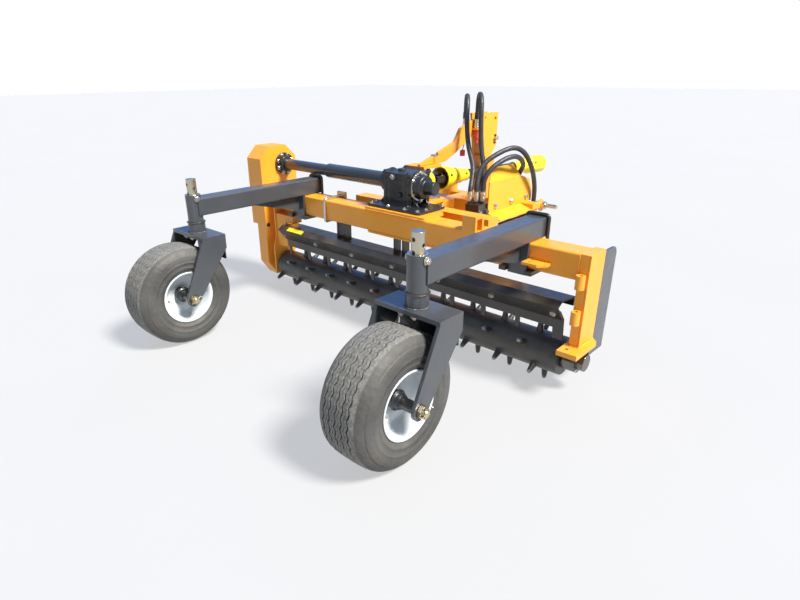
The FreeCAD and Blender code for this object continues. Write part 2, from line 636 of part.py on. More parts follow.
def lower_hitch_pins():
    """Pins for the tractor's lower links, one each side, shouldered against the lugs."""
    pins = []
    nut_t = 18.0
    for s in (-1, 1):
        inner = V(HITCH_X + s * (HALF_FRONT - LUG_T - nut_t), LOWER_PIN_Y, LOWER_PIN_Z)
        outer = V(HITCH_X + s * HALF_FRONT, LOWER_PIN_Y, LOWER_PIN_Z)
        nut = rod(19, inner, X * s, nut_t)
        shank = rod(LOWER_PIN_R, inner, X * s, LUG_T + nut_t)
        collar = rod(20, outer, X * s, COLLAR_W)
        link = rod(LOWER_PIN_R, outer + X * (s * COLLAR_W), X * s, LOWER_PIN_L)
        pins.append(fuse(nut, shank, collar, link))
    return Part.makeCompound(pins)


def top_link_pin():
    """Spare top-link pin with a head, parked in the mast's lower hole."""
    out = MAST_GAP / 2 + MAST_T
    y, z = PARKED_PIN[0], PORTAL_TOP + PARKED_PIN[1]
    shank = rod(TOP_PIN_R, V(HITCH_X - out - 8, y, z), X, 2 * out + 26)
    head = rod(15, V(HITCH_X - out - 12, y, z), X, 12)
    return fuse(shank, head)


def cylinder_guard():
    """Bent yellow plate outside the right rail, over the cylinder and its hoses."""
    t = 6.0
    x = RAIL_X
    step_y = FRONT_TUBE_Y - 3
    step_z = FRAME_BOTTOM + FRONT_TUBE_H + GAP
    web = side_plate(x, x + t, [(448, 515), (step_y, 515), (step_y, step_z), (860, step_z), (860, 575),
                                (826, 640), (735, 668), (448, 668)])
    upper = Part.makeLoft([Part.makePolygon([V(x, 448, 668), V(x + t, 448, 668), V(x + t, 735, 668),
                                             V(x, 735, 668), V(x, 448, 668)]),
                           Part.makePolygon([V(x - 26, 500, 728), V(x + t - 26, 500, 728),
                                             V(x + t - 26, 690, 728), V(x - 26, 690, 728),
                                             V(x - 26, 500, 728)])], True)
    flange = slab([V(x, 448, 520), V(x + t, 448, 520), V(x + 77, 448, 496), V(x + 77, 448, 490),
                   V(x, 448, 514)], Y, step_y - 448)
    return fuse(web, upper, flange)


def valve_block():
    """Pilot-check valve block on the hitch's rear shelf, with a hose union for each hose."""
    block_top = UNION_TOP - 26
    block = box(120, 196, 378, 462, FRAME_BOTTOM + SHELF_T, block_top)
    unions = [rod(11, V(x, y, block_top), Z, 26) for x, y in UNIONS]
    return fuse(block, *unions)


def hose_coupler(x):
    """Quick coupler of a supply hose, parked in the brace's ear with its tip down."""
    z = EAR_Z + EAR_T + GAP
    tip = EAR_Z - 66
    grip = rod(13, V(x, COUPLER_Y, COUPLER_TOP - 26), Z, 26)
    collar = rod(15, V(x, COUPLER_Y, z), Z, COUPLER_TOP - 25 - z)
    body = rod(12, V(x, COUPLER_Y, tip + 32), Z, z + 1 - tip - 32)
    return fuse(grip, collar, body, rod(8.5, V(x, COUPLER_Y, tip), Z, 33))


# ------------------------------------------------------------------ drive line
def pto_point(distance, up=0.0):
    """Point on the drive line's axis at a distance in front of the swing axis."""
    a = math.radians(PTO_DROOP)
    return V(HITCH_X, PIVOT_Y + distance * math.cos(a) + up * math.sin(a),
             PTO_Z - distance * math.sin(a) + up * math.cos(a))


PTO_DIR = V(0, math.cos(math.radians(PTO_DROOP)), -math.sin(math.radians(PTO_DROOP)))


def pto_shaft():
    """Telescopic shaft with a universal joint at each end."""
    core = rod(17, pto_point(62), PTO_DIR, PTO_END - 190)
    rings = [rod(GUARD_TUBE_R - GUARD_WALL - GAP, pto_point(d), PTO_DIR, 12) for d in (290, 700)]
    near_hub = rod(27, pto_point(42), PTO_DIR, 36)
    cross_block = box(HITCH_X - 14, HITCH_X + 14, PIVOT_Y - 14, PIVOT_Y + 14, PTO_Z - 14, PTO_Z + 14)
    cross = fuse(cross_block, rod(9, V(HITCH_X, PIVOT_Y, PTO_Z - 21.5), Z, 43),
                 rod(9, V(HITCH_X - 34, PIVOT_Y, PTO_Z), X, 68))
    arms = [box(HITCH_X + s * 22, HITCH_X + s * 34, PIVOT_Y - 14, PIVOT_Y + 50, PTO_Z - 15, PTO_Z + 15)
            for s in (-1, 1)]
    far = PTO_END - 128
    far_hub = rod(27, pto_point(far - 20), PTO_DIR, 40)
    far_yoke = rod(30, pto_point(far + 20), PTO_DIR, 58)
    far_collar = ring(34, 17.5, pto_point(far + 78), PTO_DIR, 46)
    return fuse(core, near_hub, cross, far_hub, far_yoke, far_collar, *arms, *rings)


def shell(rows, wall):
    """Thin round shell along the drive line from (distance, radius) pairs."""
    solids = []
    for grow in (0.0, -wall):
        parts = []
        for (d0, r0), (d1, r1) in zip(rows, rows[1:]):
            if abs(r0 - r1) < 1e-6:
                parts.append(rod(r0 + grow, pto_point(d0), PTO_DIR, d1 - d0))
            else:
                parts.append(cone(r0 + grow, r1 + grow, pto_point(d0), PTO_DIR, d1 - d0))
        solids.append(fuse(*parts) if len(parts) > 1 else parts[0])
    return solids[0].cut(solids[1])


def pto_guard_rear():
    """Yellow bell over the gearbox-side joint."""
    return shell([(52, 55), (92, 55), (200, 36), (262, 29)], GUARD_WALL)


def pto_guard_tube():
    """Dark plastic tube over the telescopic shaft."""
    return shell([(262, GUARD_TUBE_R), (740, GUARD_TUBE_R)], GUARD_WALL)


def pto_guard_front():
    """Yellow tube and bell over the tractor-side joint."""
    return shell([(740, 29), (PTO_END - 180, 29), (PTO_END - 150, 48), (PTO_END, PTO_BELL_R)], GUARD_WALL)


# ------------------------------------------------------------------ cylinder
def cylinder_barrel():
    """Barrel with its eye in front, its gland towards the rake and a port at each end of its oil lines."""
    tube = rod(CYL_R, V(CYL_X, GLAND_Y, CYL_Z), Y, CYL_HEAD_Y - 34 - GLAND_Y)
    bore = rod(CYL_R - 6, V(CYL_X, GLAND_Y + 22, CYL_Z), Y, CYL_HEAD_Y - 60 - GLAND_Y - 22)
    gland_hole = rod(ROD_R + FIT, V(CYL_X, GLAND_Y, CYL_Z), Y, 24)
    eye = rod(CYL_OPEN_R - 4, V(CYL_X, CYL_HEAD_Y, CYL_Z - EYE_T / 2), Z, EYE_T)
    neck = box(CYL_X - 18, CYL_X + 18, CYL_HEAD_Y - 40, CYL_HEAD_Y - 10, CYL_Z - EYE_T / 2,
               CYL_Z + EYE_T / 2)
    hole = rod(CYL_PIN_R + FIT, V(CYL_X, CYL_HEAD_Y, CYL_Z - EYE_T), Z, 2 * EYE_T)
    cap_x, cap_y, cap_z = CAP_PORT
    cap_arm = box(cap_x - 10, cap_x + 10, CYL_HEAD_Y + 14, cap_y + 12, CYL_Z - 10, CYL_Z + 10)
    cap_union = rod(PORT_R, V(cap_x, cap_y, CYL_Z - 10), Z, cap_z - CYL_Z + 10)
    rod_x, rod_y, rod_z = ROD_PORT
    oil_line = rod(7, V(CYL_X - CYL_R - 6, GLAND_Y + 12, CYL_Z - 6), Y, rod_y - GLAND_Y - 4)
    feet = [box(CYL_X - CYL_R - 13, CYL_X - CYL_R + 8, y, y + 20, CYL_Z - 13, CYL_Z + 1)
            for y in (GLAND_Y + 6, rod_y - 20)]
    cross_line = rod(7, V(CYL_X - CYL_R - 6, rod_y, CYL_Z - 6), X.negative(), CYL_X - CYL_R - 6 - rod_x)
    rod_union = rod(PORT_R, V(rod_x, rod_y, CYL_Z - 16), Z, rod_z - CYL_Z + 16)
    body = fuse(tube, eye, neck, cap_arm, cap_union, oil_line, cross_line, rod_union, *feet)
    return body.cut([bore, gland_hole, hole])


def cylinder_rod():
    """Chromed rod with its eye round the anchor's pin."""
    start = ANCHOR_Y + CYL_OPEN_R - 8
    bar = rod(ROD_R, V(CYL_X, start, CYL_Z), Y, 560 - start)
    eye = rod(CYL_OPEN_R - 4, V(CYL_X, ANCHOR_Y, CYL_Z - EYE_T / 2), Z, EYE_T)
    hole = rod(CYL_PIN_R + EYE_SLACK, V(CYL_X, ANCHOR_Y, CYL_Z - EYE_T), Z, 2 * EYE_T)
    return fuse(bar, eye).cut(hole)


# ------------------------------------------------------------------ roller and barrier
def roller():
    """Drum with its end discs and stub shafts."""
    drum = ring(DRUM_R, DRUM_R - DRUM_WALL, V(DRUM_LEFT, ROLL_Y, ROLL_Z), X, DRUM_RIGHT - DRUM_LEFT)
    solids = [drum]
    for x in (DRUM_LEFT, DRUM_RIGHT - 12):
        solids.append(rod(DRUM_R - DRUM_WALL + 1, V(x, ROLL_Y, ROLL_Z), X, 12))
    solids.append(rod(ROLL_SHAFT_R, V(DRUM_LEFT - 62, ROLL_Y, ROLL_Z), X, 70))
    solids.append(rod(ROLL_SHAFT_R, V(DRUM_RIGHT - 6, ROLL_Y, ROLL_Z), X, 70))
    return fuse(*solids)


def roller_teeth():
    """Six rows of round steel teeth welded to the drum."""
    drum = rod(DRUM_R, V(DRUM_LEFT, ROLL_Y, ROLL_Z), X, DRUM_RIGHT - DRUM_LEFT)
    teeth = []
    for angle, offset in TOOTH_ROWS:
        a = math.radians(angle)
        out = V(0, math.cos(a), math.sin(a))
        for i in range(TOOTH_COUNT):
            x = TOOTH_FIRST + i * TOOTH_PITCH + offset
            if x < DRUM_LEFT + 20 or x > DRUM_RIGHT - 20:
                continue
            base = V(x, ROLL_Y, ROLL_Z) + out * (DRUM_R - 4)
            teeth.append(cone(TOOTH_ROOT_R, TOOTH_TIP_R, base, out, ROLL_Z - DRUM_R + 4).cut(drum))
    return Part.makeCompound(teeth)


def roller_bearings():
    """Bearing housings of the roller's stub shafts."""
    bore = ROLL_SHAFT_R + FIT
    x0 = DRUM_RIGHT + 7
    x1 = POST_OUT - 8
    housing = rod(ROLL_SHAFT_R + 23, V(x0, ROLL_Y, ROLL_Z), X, x1 - x0)
    cap = rod(ROLL_SHAFT_R + 9, V(x1, ROLL_Y, ROLL_Z), X, CAP_OUT - x1)
    saddle = box(x0 + 4, x1, ROLL_Y - 30, ROLL_Y + 30, ROLL_Z + 30, POST_FOOT_TOP - FOOT_T)
    right = fuse(housing, cap, saddle).cut(rod(bore, V(DRUM_RIGHT, ROLL_Y, ROLL_Z), X, 74))
    left = ring(ROLL_SHAFT_R + 21.5, bore, V(CASE_FACE, ROLL_Y, ROLL_Z), X, BEARING_REACH)
    return Part.makeCompound([right, left])


LIP_LOW = (-22.0, 300.0)
LIP_HIGH = (-77.0, 366.0)
LID_REAR = (-45.0, 386.0)
LID_SLOPE = 0.095
HANGER_FOOT = LID_REAR[1] + LID_REAR[0] * LID_SLOPE + GAP
SHEET_T = 6.0


def folded(points, thickness, x0, x1):
    """Folded sheet across the machine: (y, z) points of its outside, thickened to their right."""
    normals = []
    for (y0, z0), (y1, z1) in zip(points, points[1:]):
        length = math.hypot(y1 - y0, z1 - z0)
        normals.append(((z1 - z0) / length, -(y1 - y0) / length))
    inside = []
    for i, (y, z) in enumerate(points):
        a = normals[max(i - 1, 0)]
        b = normals[min(i, len(normals) - 1)]
        scale = thickness / (1 + a[0] * b[0] + a[1] * b[1])
        inside.append((y + (a[0] + b[0]) * scale, z + (a[1] + b[1]) * scale))
    return side_plate(x0, x1, points + inside[::-1])


def barrier_carrier():
    """Folded carrier sheet over the roller, from the left bracket to the right post."""
    front = 60.0
    front_z = LID_REAR[1] - (front - LID_REAR[0]) * LID_SLOPE
    return folded([LIP_LOW, LIP_HIGH, LID_REAR, (front, front_z), (front, front_z - 38)], SHEET_T,
                  BARRIER_LEFT, BARRIER_RIGHT)


def along_lip(distance, depth):
    """(y, z) point on the lip, up from its lower edge and in from its outside."""
    dy, dz = LIP_HIGH[0] - LIP_LOW[0], LIP_HIGH[1] - LIP_LOW[1]
    length = math.hypot(dy, dz)
    uy, uz = dy / length, dz / length
    return LIP_LOW[0] + uy * distance + uz * depth, LIP_LOW[1] + uz * distance - uy * depth


def barrier_comb():
    """Comb bar against the inside of the carrier's lip, with windows where the teeth pass."""
    bar = folded([(-4, 212), along_lip(-6, SHEET_T), along_lip(50, SHEET_T)], SHEET_T, BARRIER_LEFT,
                 BARRIER_RIGHT)
    windows = []
    for i in range(TOOTH_COUNT):
        x_mid = TOOTH_FIRST + i * TOOTH_PITCH
        left = max(x_mid - 110, BARRIER_LEFT - 1)
        right = min(x_mid + 32, BARRIER_RIGHT + 1)
        if right > left + 1:
            windows.append(box(left, right, -60, 20, 200, 258))
    return bar.cut(windows)


def barrier_hangers():
    """Paired straps that hang the carrier from the beam."""
    straps = []
    for x, top in ((-370.0, BEAM_BOTTOM), (20.0, BEAM_BOTTOM - TURRET_T), (300.0, BEAM_BOTTOM)):
        for dx in (-30.0, 22.0):
            outline = [(0, HANGER_FOOT), (45, HANGER_FOOT - 45 * LID_SLOPE), (45, top), (0, top)]
            straps.append(side_plate(x + dx, x + dx + 8, outline))
    return Part.makeCompound(straps)


# ------------------------------------------------------------------ caster arms and casters (right side)
def arm():
    """Square arm on top of the beam with the caster's sleeve behind and a gusset below."""
    x0, x1 = CASTER_X - ARM / 2, CASTER_X + ARM / 2
    tube = square_tube(x0, x1, CASTER_Y, ARM_FRONT, BEAM_TOP, BEAM_TOP + ARM, Y, ARM_WALL)
    cap = box(x0 + 3, x1 - 3, ARM_FRONT - 6, ARM_FRONT - 1, BEAM_TOP + 3, BEAM_TOP + ARM - 3)
    sleeve = rod(STEM_SLEEVE_R, V(CASTER_X, CASTER_Y, SLEEVE_BOTTOM), Z, SLEEVE_TOP - SLEEVE_BOTTOM)
    gusset = side_plate(CASTER_X - 6, CASTER_X + 6, [(-340, BEAM_TOP + 1), (BEAM_REAR, BEAM_TOP + 1),
                                                     (BEAM_REAR, 492), (-60, 492)])
    plate = box(x0, x1, BEAM_REAR - 12, BEAM_REAR, 442, BEAM_TOP + 1)
    gusset = gusset.cut(box(x0, x1, BEAM_REAR, 0, 400, BEAM_TOP))
    body = fuse(tube, cap, sleeve, gusset, plate)
    stem_bore = rod(STEM_R + FIT, V(CASTER_X, CASTER_Y, SLEEVE_BOTTOM - 1), Z, 200)
    bolt_z = SLEEVE_TOP - SET_BOLT_DROP
    bolt_bore = rod(SET_BOLT_R, V(x0, CASTER_Y, bolt_z), X, ARM)
    seats = [rod(SET_BOLT_HEAD_R + 1, V(CASTER_X + s * STEM_SLEEVE_R, CASTER_Y, bolt_z), X * s, ARM)
             for s in (-1, 1)]
    return body.cut([stem_bore, bolt_bore] + seats)


def u_bolt(corner_a, corner_b, reach, radius, bend):
    """Round U bolt: two legs along reach from the corners of its bridge."""
    across = corner_b - corner_a
    width = across.Length
    u = across * (1 / width)
    leg = reach * (1 / reach.Length)
    a_end = corner_a + reach
    b_end = corner_b + reach
    a_top = corner_a + leg * bend
    b_top = corner_b + leg * bend
    k = bend * (1 - math.sqrt(0.5))
    arc_a = Part.Arc(a_top, corner_a + u * k + leg * k, corner_a + u * bend).toShape()
    arc_b = Part.Arc(corner_b - u * bend, corner_b - u * k + leg * k, b_top).toShape()
    path = Part.Wire([Part.LineSegment(a_end, a_top).toShape(), arc_a,
                      Part.LineSegment(corner_a + u * bend, corner_b - u * bend).toShape(), arc_b,
                      Part.LineSegment(b_top, b_end).toShape()])
    profile = Part.Wire(Part.makeCircle(radius, a_end, leg))
    return path.makePipeShell([profile], True, False)


def arm_clamps():
    """U bolts and clamp plates that hold the arms on the beam, for both sides."""
    r = 7.0
    off = ARM / 2 + r + 0.5
    y = BEAM_FRONT + r + 0.5
    top = BEAM_TOP + ARM + r + 0.3
    right = []
    a = V(CASTER_X - off, y, top)
    b = V(CASTER_X + off, y, top)
    plate_low = BEAM_BOTTOM - 16
    over_arm = u_bolt(a, b, V(0, 0, plate_low - 20 - top), r, 15)
    plate = box(CASTER_X - 70, CASTER_X + 70, BEAM_REAR - 30, BEAM_FRONT + 26, plate_low, BEAM_BOTTOM)
    plate = plate.cut(box(CASTER_X - ARM / 2 - 1, CASTER_X + ARM / 2 + 1, BEAM_REAR - 40, BEAM_REAR,
                          plate_low - 10, BEAM_BOTTOM + 4))
    for x in (CASTER_X - off, CASTER_X + off):
        plate = plate.cut(rod(r + 0.3, V(x, y, plate_low - 5), Z, 30))
    nuts = [rod(13, V(x, y, plate_low - 14), Z, 14) for x in (CASTER_X - off, CASTER_X + off)]
    right += [fuse(over_arm, *nuts), plate]
    x2 = -SECOND_BOLT_X
    low = BEAM_BOTTOM - r - 0.3
    high = BEAM_TOP + r + 0.3
    rear = BEAM_REAR - r - 0.3
    round_beam = u_bolt(V(x2, rear, high), V(x2, rear, low), V(0, BEAM_D + 40, 0), r, 14)
    pad = box(x2 - 30, x2 + 30, BEAM_FRONT, BEAM_FRONT + 12, BEAM_BOTTOM - 24, BEAM_TOP + 27)
    pad = pad.cut([rod(r + 0.3, V(x2, BEAM_FRONT - 1, z), Y, 16) for z in (high, low)])
    nuts = [rod(13, V(x2, BEAM_FRONT + 12, z), Y, 13) for z in (high, low)]
    return Part.makeCompound(right + [mirrored(s) for s in right] + [fuse(round_beam, *nuts), pad])


def tangent_outline(corners, centre, radius, steps=10):
    """(y, z) corners followed by the arc that wraps a round end below them."""
    first, last = corners[0], corners[-1]

    def touch(point, side):
        dy, dz = point[0] - centre[0], point[1] - centre[1]
        distance = math.hypot(dy, dz)
        return math.atan2(dz, dy) + side * math.acos(radius / distance)

    a0 = touch(last, 1)
    a1 = touch(first, -1)
    while a1 < a0:
        a1 += 2 * math.pi
    arc = [(centre[0] + radius * math.cos(a0 + (a1 - a0) * i / steps),
            centre[1] + radius * math.sin(a0 + (a1 - a0) * i / steps)) for i in range(steps + 1)]
    return corners + arc


def caster_fork():
    """Fork with two cranked legs, its top plate, a spacer collar and the long stem."""
    z1 = FORK_TOP
    z0 = z1 - FORK_PLATE_T
    x0, x1 = CASTER_X - FORK_W / 2, CASTER_X + FORK_W / 2
    rear = CASTER_Y - FORK_BEHIND
    front = CASTER_Y + FORK_AHEAD
    plate = box(x0, x1, rear, front, z0, z1)
    corners = [(rear, z0 + 1), (front, z0 + 1), (front, z0 - 50)]
    outline = tangent_outline(corners[::-1], (AXLE_Y, TYRE_R), 33)
    legs = []
    for x in (x0, x1 - FORK_LEG_T):
        leg = side_plate(x, x + FORK_LEG_T, outline)
        legs.append(leg.cut(rod(AXLE_R + FIT, V(x - 1, AXLE_Y, TYRE_R), X, FORK_LEG_T + 2)))
    collar = rod(38, V(CASTER_X, CASTER_Y, z1), Z, SLEEVE_BOTTOM - GAP - z1)
    stem = rod(STEM_R, V(CASTER_X, CASTER_Y, z1), Z, STEM_TOP - z1)
    body = fuse(plate, collar, stem, *legs)
    holes = [rod(STEM_HOLE_R, V(CASTER_X, CASTER_Y - 40, SLEEVE_TOP + up), Y, 80)
             for up in STEM_HOLES_ALONG]
    holes.append(rod(STEM_HOLE_R, V(CASTER_X - 40, CASTER_Y, SLEEVE_TOP + STEM_HOLE_ACROSS), X, 80))
    low = SLEEVE_TOP - SET_BOLT_DROP - SET_BOLT_R - 1
    groove = ring(STEM_R + 1, STEM_R - GROOVE_D, V(CASTER_X, CASTER_Y, low), Z, 2 * SET_BOLT_R + 2)
    return body.cut(holes + [groove])


def set_bolts():
    """Two bolts through the sleeve's wall whose tips keep the stem by its groove."""
    z = SLEEVE_TOP - SET_BOLT_DROP
    bolts = []
    for s in (-1, 1):
        tip = V(CASTER_X + s * (STEM_R - GROOVE_D + 1), CASTER_Y, z)
        seat = V(CASTER_X + s * (STEM_SLEEVE_R + GAP), CASTER_Y, z)
        shank = rod(SET_BOLT_R - FIT, tip, X * s, STEM_SLEEVE_R - STEM_R + GROOVE_D)
        bolts.append(fuse(shank, rod(SET_BOLT_HEAD_R, seat, X * s, 9)))
    return Part.makeCompound(bolts)


def caster_axle():
    """Through bolt with a castle nut outside each leg and spacers to the hub."""
    half = FORK_W / 2
    bolt = rod(AXLE_R, V(CASTER_X - half - 22, AXLE_Y, TYRE_R), X, FORK_W + 50)
    head = rod(19, V(CASTER_X - half - 14, AXLE_Y, TYRE_R), X, 14)
    nut = rod(19, V(CASTER_X + half, AXLE_Y, TYRE_R), X, 18)
    spacer_r = 20.0
    inner = half - FORK_LEG_T
    hub_half = 70.0
    spacers = [ring(spacer_r, AXLE_R - 1, V(CASTER_X - inner, AXLE_Y, TYRE_R), X, inner - hub_half - GAP),
               ring(spacer_r, AXLE_R - 1, V(CASTER_X + hub_half + GAP, AXLE_Y, TYRE_R), X,
                    inner - hub_half - GAP)]
    return fuse(bolt, head, nut, *spacers)


def turned(profile, x_mid):
    """Solid of revolution about a wheel's axle from (x, r) corners."""
    points = [V(x_mid + x, AXLE_Y, TYRE_R + r) for x, r in profile]
    face = Part.Face(Part.makePolygon(points + [points[0]]))
    return face.revolve(V(x_mid, AXLE_Y, TYRE_R), X, 360)


def wheel_rim():
    """Steel rim: well, flanges, dished disc and hub."""
    w = TYRE_W / 2
    flange = RIM_R + 9
    barrel = [(-w + 8, flange), (-w + 8, flange - 5), (-w + 16, RIM_R - 5), (-30, RIM_R - 22),
              (30, RIM_R - 22), (w - 16, RIM_R - 5), (w - 8, flange - 5), (w - 8, flange),
              (w - 14, flange), (w - 22, RIM_R), (34, RIM_R - 16), (-34, RIM_R - 16), (-w + 22, RIM_R),
              (-w + 14, flange)]
    disc = [(10, HUB_R - 2), (22, 48), (20, RIM_R - 21), (14, RIM_R - 21), (15, 50), (2, HUB_R - 2)]
    hub = ring(HUB_R, AXLE_R + FIT, V(CASTER_X - 70, AXLE_Y, TYRE_R), X, 140)
    return fuse(turned(barrel, CASTER_X), turned(disc, CASTER_X), hub)


def tyre():
    """Low-pressure tyre on its rim."""
    w = TYRE_W / 2
    flange = RIM_R + 9
    outside = [(14, flange + GAP), (3, flange + 22), (0, TYRE_R - 60), (5, TYRE_R - 32),
               (22, TYRE_R - 8), (44, TYRE_R - 1), (79, TYRE_R)]
    inside = [(22, RIM_R + GAP), (40, RIM_R - 4), (40, flange + 12), (14, TYRE_R - 68),
              (20, TYRE_R - 38), (46, TYRE_R - 16)]
    profile = [(-w + x, r) for x, r in outside] + [(w - x, r) for x, r in outside[::-1]]
    profile += [(w - x, r) for x, r in inside] + [(-w + x, r) for x, r in inside[::-1]]
    return turned(profile, CASTER_X)


# ------------------------------------------------------------------ hoses
HOSE_R = 12.0
HOSES = {
    "hose_supply_right": [
        (-20, 645, 940), (-20, 645, 998), (-3, 623, 1046), (36, 577, 1062), (72, 536, 1040),
        (84, 521, 988), (90, 516, 928), (97, 512, 866), (108, 507, 808), (124, 502, 756),
        (138, 494, 708), (143, 472, 664), (142, 446, 632), (142, 446, 594)],
    "hose_supply_left": [
        (-92, 645, 940), (-92, 645, 994), (-77, 624, 1040), (-46, 586, 1052), (-17, 549, 1030),
        (-5, 531, 980), (2, 525, 922), (14, 517, 866), (34, 505, 812), (66, 486, 766), (94, 464, 730),
        (114, 436, 694), (126, 410, 662), (134, 392, 630), (134, 392, 594)],
    "hose_cylinder_cap": [
        (158, 410, 594), (158, 410, 634), (150, 426, 682), (148, 450, 730), (160, 482, 764),
        (182, 524, 790), (202, 573, 810), (221, 622, 818), (237, 668, 802), (246, 712, 766),
        (248, 755, 716), (241, 800, 664), (231, 840, 608), (225, 858, 556), (225, 856, 508),
        (225, 856, 470)],
    "hose_cylinder_rod": [
        (180, 432, 594), (180, 432, 632), (180, 437, 682), (193, 461, 728), (215, 508, 760),
        (232, 560, 778), (243, 608, 780), (244, 654, 762), (233, 697, 735), (212, 737, 714),
        (184, 757, 676), (163, 754, 620), (147, 743, 560), (142, 735, 518), (142, 735, 478)],
}


def hose(points):
    """Hose along straight runs joined by tangent arcs, each as large as its two runs allow."""
    pts = [V(*p) for p in points]
    edges = []
    start = pts[0]
    length = 0.0
    smallest = 1e9
    for before, here, after in zip(pts, pts[1:], pts[2:]):
        a, b = (before - here), (after - here)
        run = min(a.Length, b.Length)
        turn = math.pi - a.getAngle(b)
        back = 0.45 * run
        radius = back / math.tan(turn / 2)
        smallest = min(smallest, radius)
        ua, ub = a * (1 / a.Length), b * (1 / b.Length)
        p0, p1 = here + ua * back, here + ub * back
        bisector = ua + ub
        bisector = bisector * (1 / bisector.Length)
        centre = here + bisector * (radius / math.cos(turn / 2))
        middle = centre - bisector * radius
        edges.append(Part.LineSegment(start, p0).toShape())
        edges.append(Part.Arc(p0, middle, p1).toShape())
        start = p1
    edges.append(Part.LineSegment(start, pts[-1]).toShape())
    path = Part.Wire(edges)
    profile = Part.Wire(Part.makeCircle(HOSE_R, pts[0], pts[1] - pts[0]))
    tube = path.makePipeShell([profile], True, False)
    expected = math.pi * HOSE_R ** 2 * path.Length
    print(f"  hose length {path.Length:.0f}, tightest radius {smallest:.0f}, "
          f"volume ratio {tube.Volume / expected:.4f}")
    return tube


# ------------------------------------------------------------------ build
def build():
    for name, make in (
            ("main_beam", main_beam), ("beam_brackets", beam_brackets),
            ("left_end_bracket", left_end_bracket), ("right_end_post", right_end_post),
            ("end_guard", end_guard), ("chain_case", chain_case), ("chain_case_cover", chain_case_cover),
            ("case_bearing_flange", case_bearing_flange), ("drive_tube", drive_tube),
            ("gearbox", gearbox), ("gearbox_side_cover", gearbox_side_cover),
            ("input_shield", input_shield), ("input_yoke", input_yoke), ("swing_turret", swing_turret),
            ("swing_pins", swing_pins), ("barrier_carrier", barrier_carrier),
            ("barrier_comb", barrier_comb), ("barrier_hangers", barrier_hangers),
            ("arm_clamps", arm_clamps), ("roller_bearings", roller_bearings), ("roller", roller),
            ("roller_teeth", roller_teeth),
            ("hitch_frame", hitch_frame), ("mast_plates", mast_plates), ("mast_brace", mast_brace),
            ("lower_hitch_pins", lower_hitch_pins), ("top_link_pin", top_link_pin),
            ("cylinder_guard", cylinder_guard), ("valve_block", valve_block),
            ("hose_coupler_right", lambda: hose_coupler(COUPLERS_X[0])),
            ("hose_coupler_left", lambda: hose_coupler(COUPLERS_X[1])),
            ("pto_shaft", pto_shaft), ("pto_guard_rear", pto_guard_rear),
            ("pto_guard_tube", pto_guard_tube), ("pto_guard_front", pto_guard_front),
            ("cylinder_barrel", cylinder_barrel), ("cylinder_rod", cylinder_rod)):
        write(name, make())
    for name, make in (("arm", arm), ("caster_fork", caster_fork), ("set_bolts", set_bolts),
                       ("caster_axle", caster_axle), ("rim", wheel_rim), ("tyre", tyre)):
        right = make()
        write(f"{name}_right", right)
        write(f"{name}_left", mirrored(right))
    for name, points in HOSES.items():
        write(name, hose(points))


build()
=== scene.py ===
# %% [markdown]
# # A power rake, finished in Blender
# A power rake is a tractor tool for levelling soil and sorting out stones: a toothed roller turns
# under a heavy beam, two caster wheels behind it hold the working depth, and a swinging hitch in
# front ties it to the tractor. The engineering model of this machine already exists and comes in
# as a fixed frame. This lesson gives every surface its finish and adds what is too fine for an
# engineering model: tread, bolts, weld beads, castings, hoses and wear.

# %% Load the fixed frame
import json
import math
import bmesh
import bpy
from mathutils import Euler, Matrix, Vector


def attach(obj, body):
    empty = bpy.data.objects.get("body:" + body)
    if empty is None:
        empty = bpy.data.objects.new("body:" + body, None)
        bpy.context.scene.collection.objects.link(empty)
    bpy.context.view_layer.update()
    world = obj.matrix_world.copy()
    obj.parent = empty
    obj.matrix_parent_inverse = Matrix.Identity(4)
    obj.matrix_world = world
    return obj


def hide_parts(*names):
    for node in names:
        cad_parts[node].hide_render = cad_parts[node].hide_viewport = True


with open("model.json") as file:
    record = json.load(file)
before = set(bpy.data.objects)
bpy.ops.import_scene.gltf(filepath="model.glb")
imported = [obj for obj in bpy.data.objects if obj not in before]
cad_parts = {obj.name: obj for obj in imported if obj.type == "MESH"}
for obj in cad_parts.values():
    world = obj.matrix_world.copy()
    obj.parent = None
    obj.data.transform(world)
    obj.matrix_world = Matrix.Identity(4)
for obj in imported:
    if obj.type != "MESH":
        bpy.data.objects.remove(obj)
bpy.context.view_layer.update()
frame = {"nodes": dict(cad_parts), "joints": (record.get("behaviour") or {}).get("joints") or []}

# %% [markdown]
# ## Where things are
# The frame is in metres, with +X to the machine's right, +Y forward and +Z up. The drawing of this
# machine is in millimetres. It measures across from the middle between the wheels, forward from a
# line in front of their axles and up from the floor, so a small helper turns its measures into
# places in the frame. The two wheel joints say where its origin is.

scene = bpy.context.scene
nodes = frame["nodes"]
joints = {joint["name"]: joint for joint in frame["joints"]}
wheel_left = Vector(joints["wheel_left_spin"]["pos_m"])
wheel_right = Vector(joints["wheel_right_spin"]["pos_m"])
AXLE_Y, AXLE_Z, STEM_Y, CASTER_X = -761, 228, -629, 658
ROLLER_Y, ROLLER_Z = 40, 128
INPUT_Y, INPUT_Z = 116, 678
SIDE_SHAFT_Y, SIDE_SHAFT_Z = 108, 688
CASTERS = (("left", -CASTER_X), ("right", CASTER_X))
ORIGIN = Vector(((wheel_left.x + wheel_right.x) / 2, wheel_right.y - AXLE_Y / 1000, 0))


def mm(x, y, z):
    """A place on the drawing, in millimetres, in the frame's coordinates."""
    return ORIGIN + Vector((x / 1000, y / 1000, z / 1000))


print("frame:", len(nodes), "nodes; drawing's origin at", tuple(round(v, 4) for v in ORIGIN))

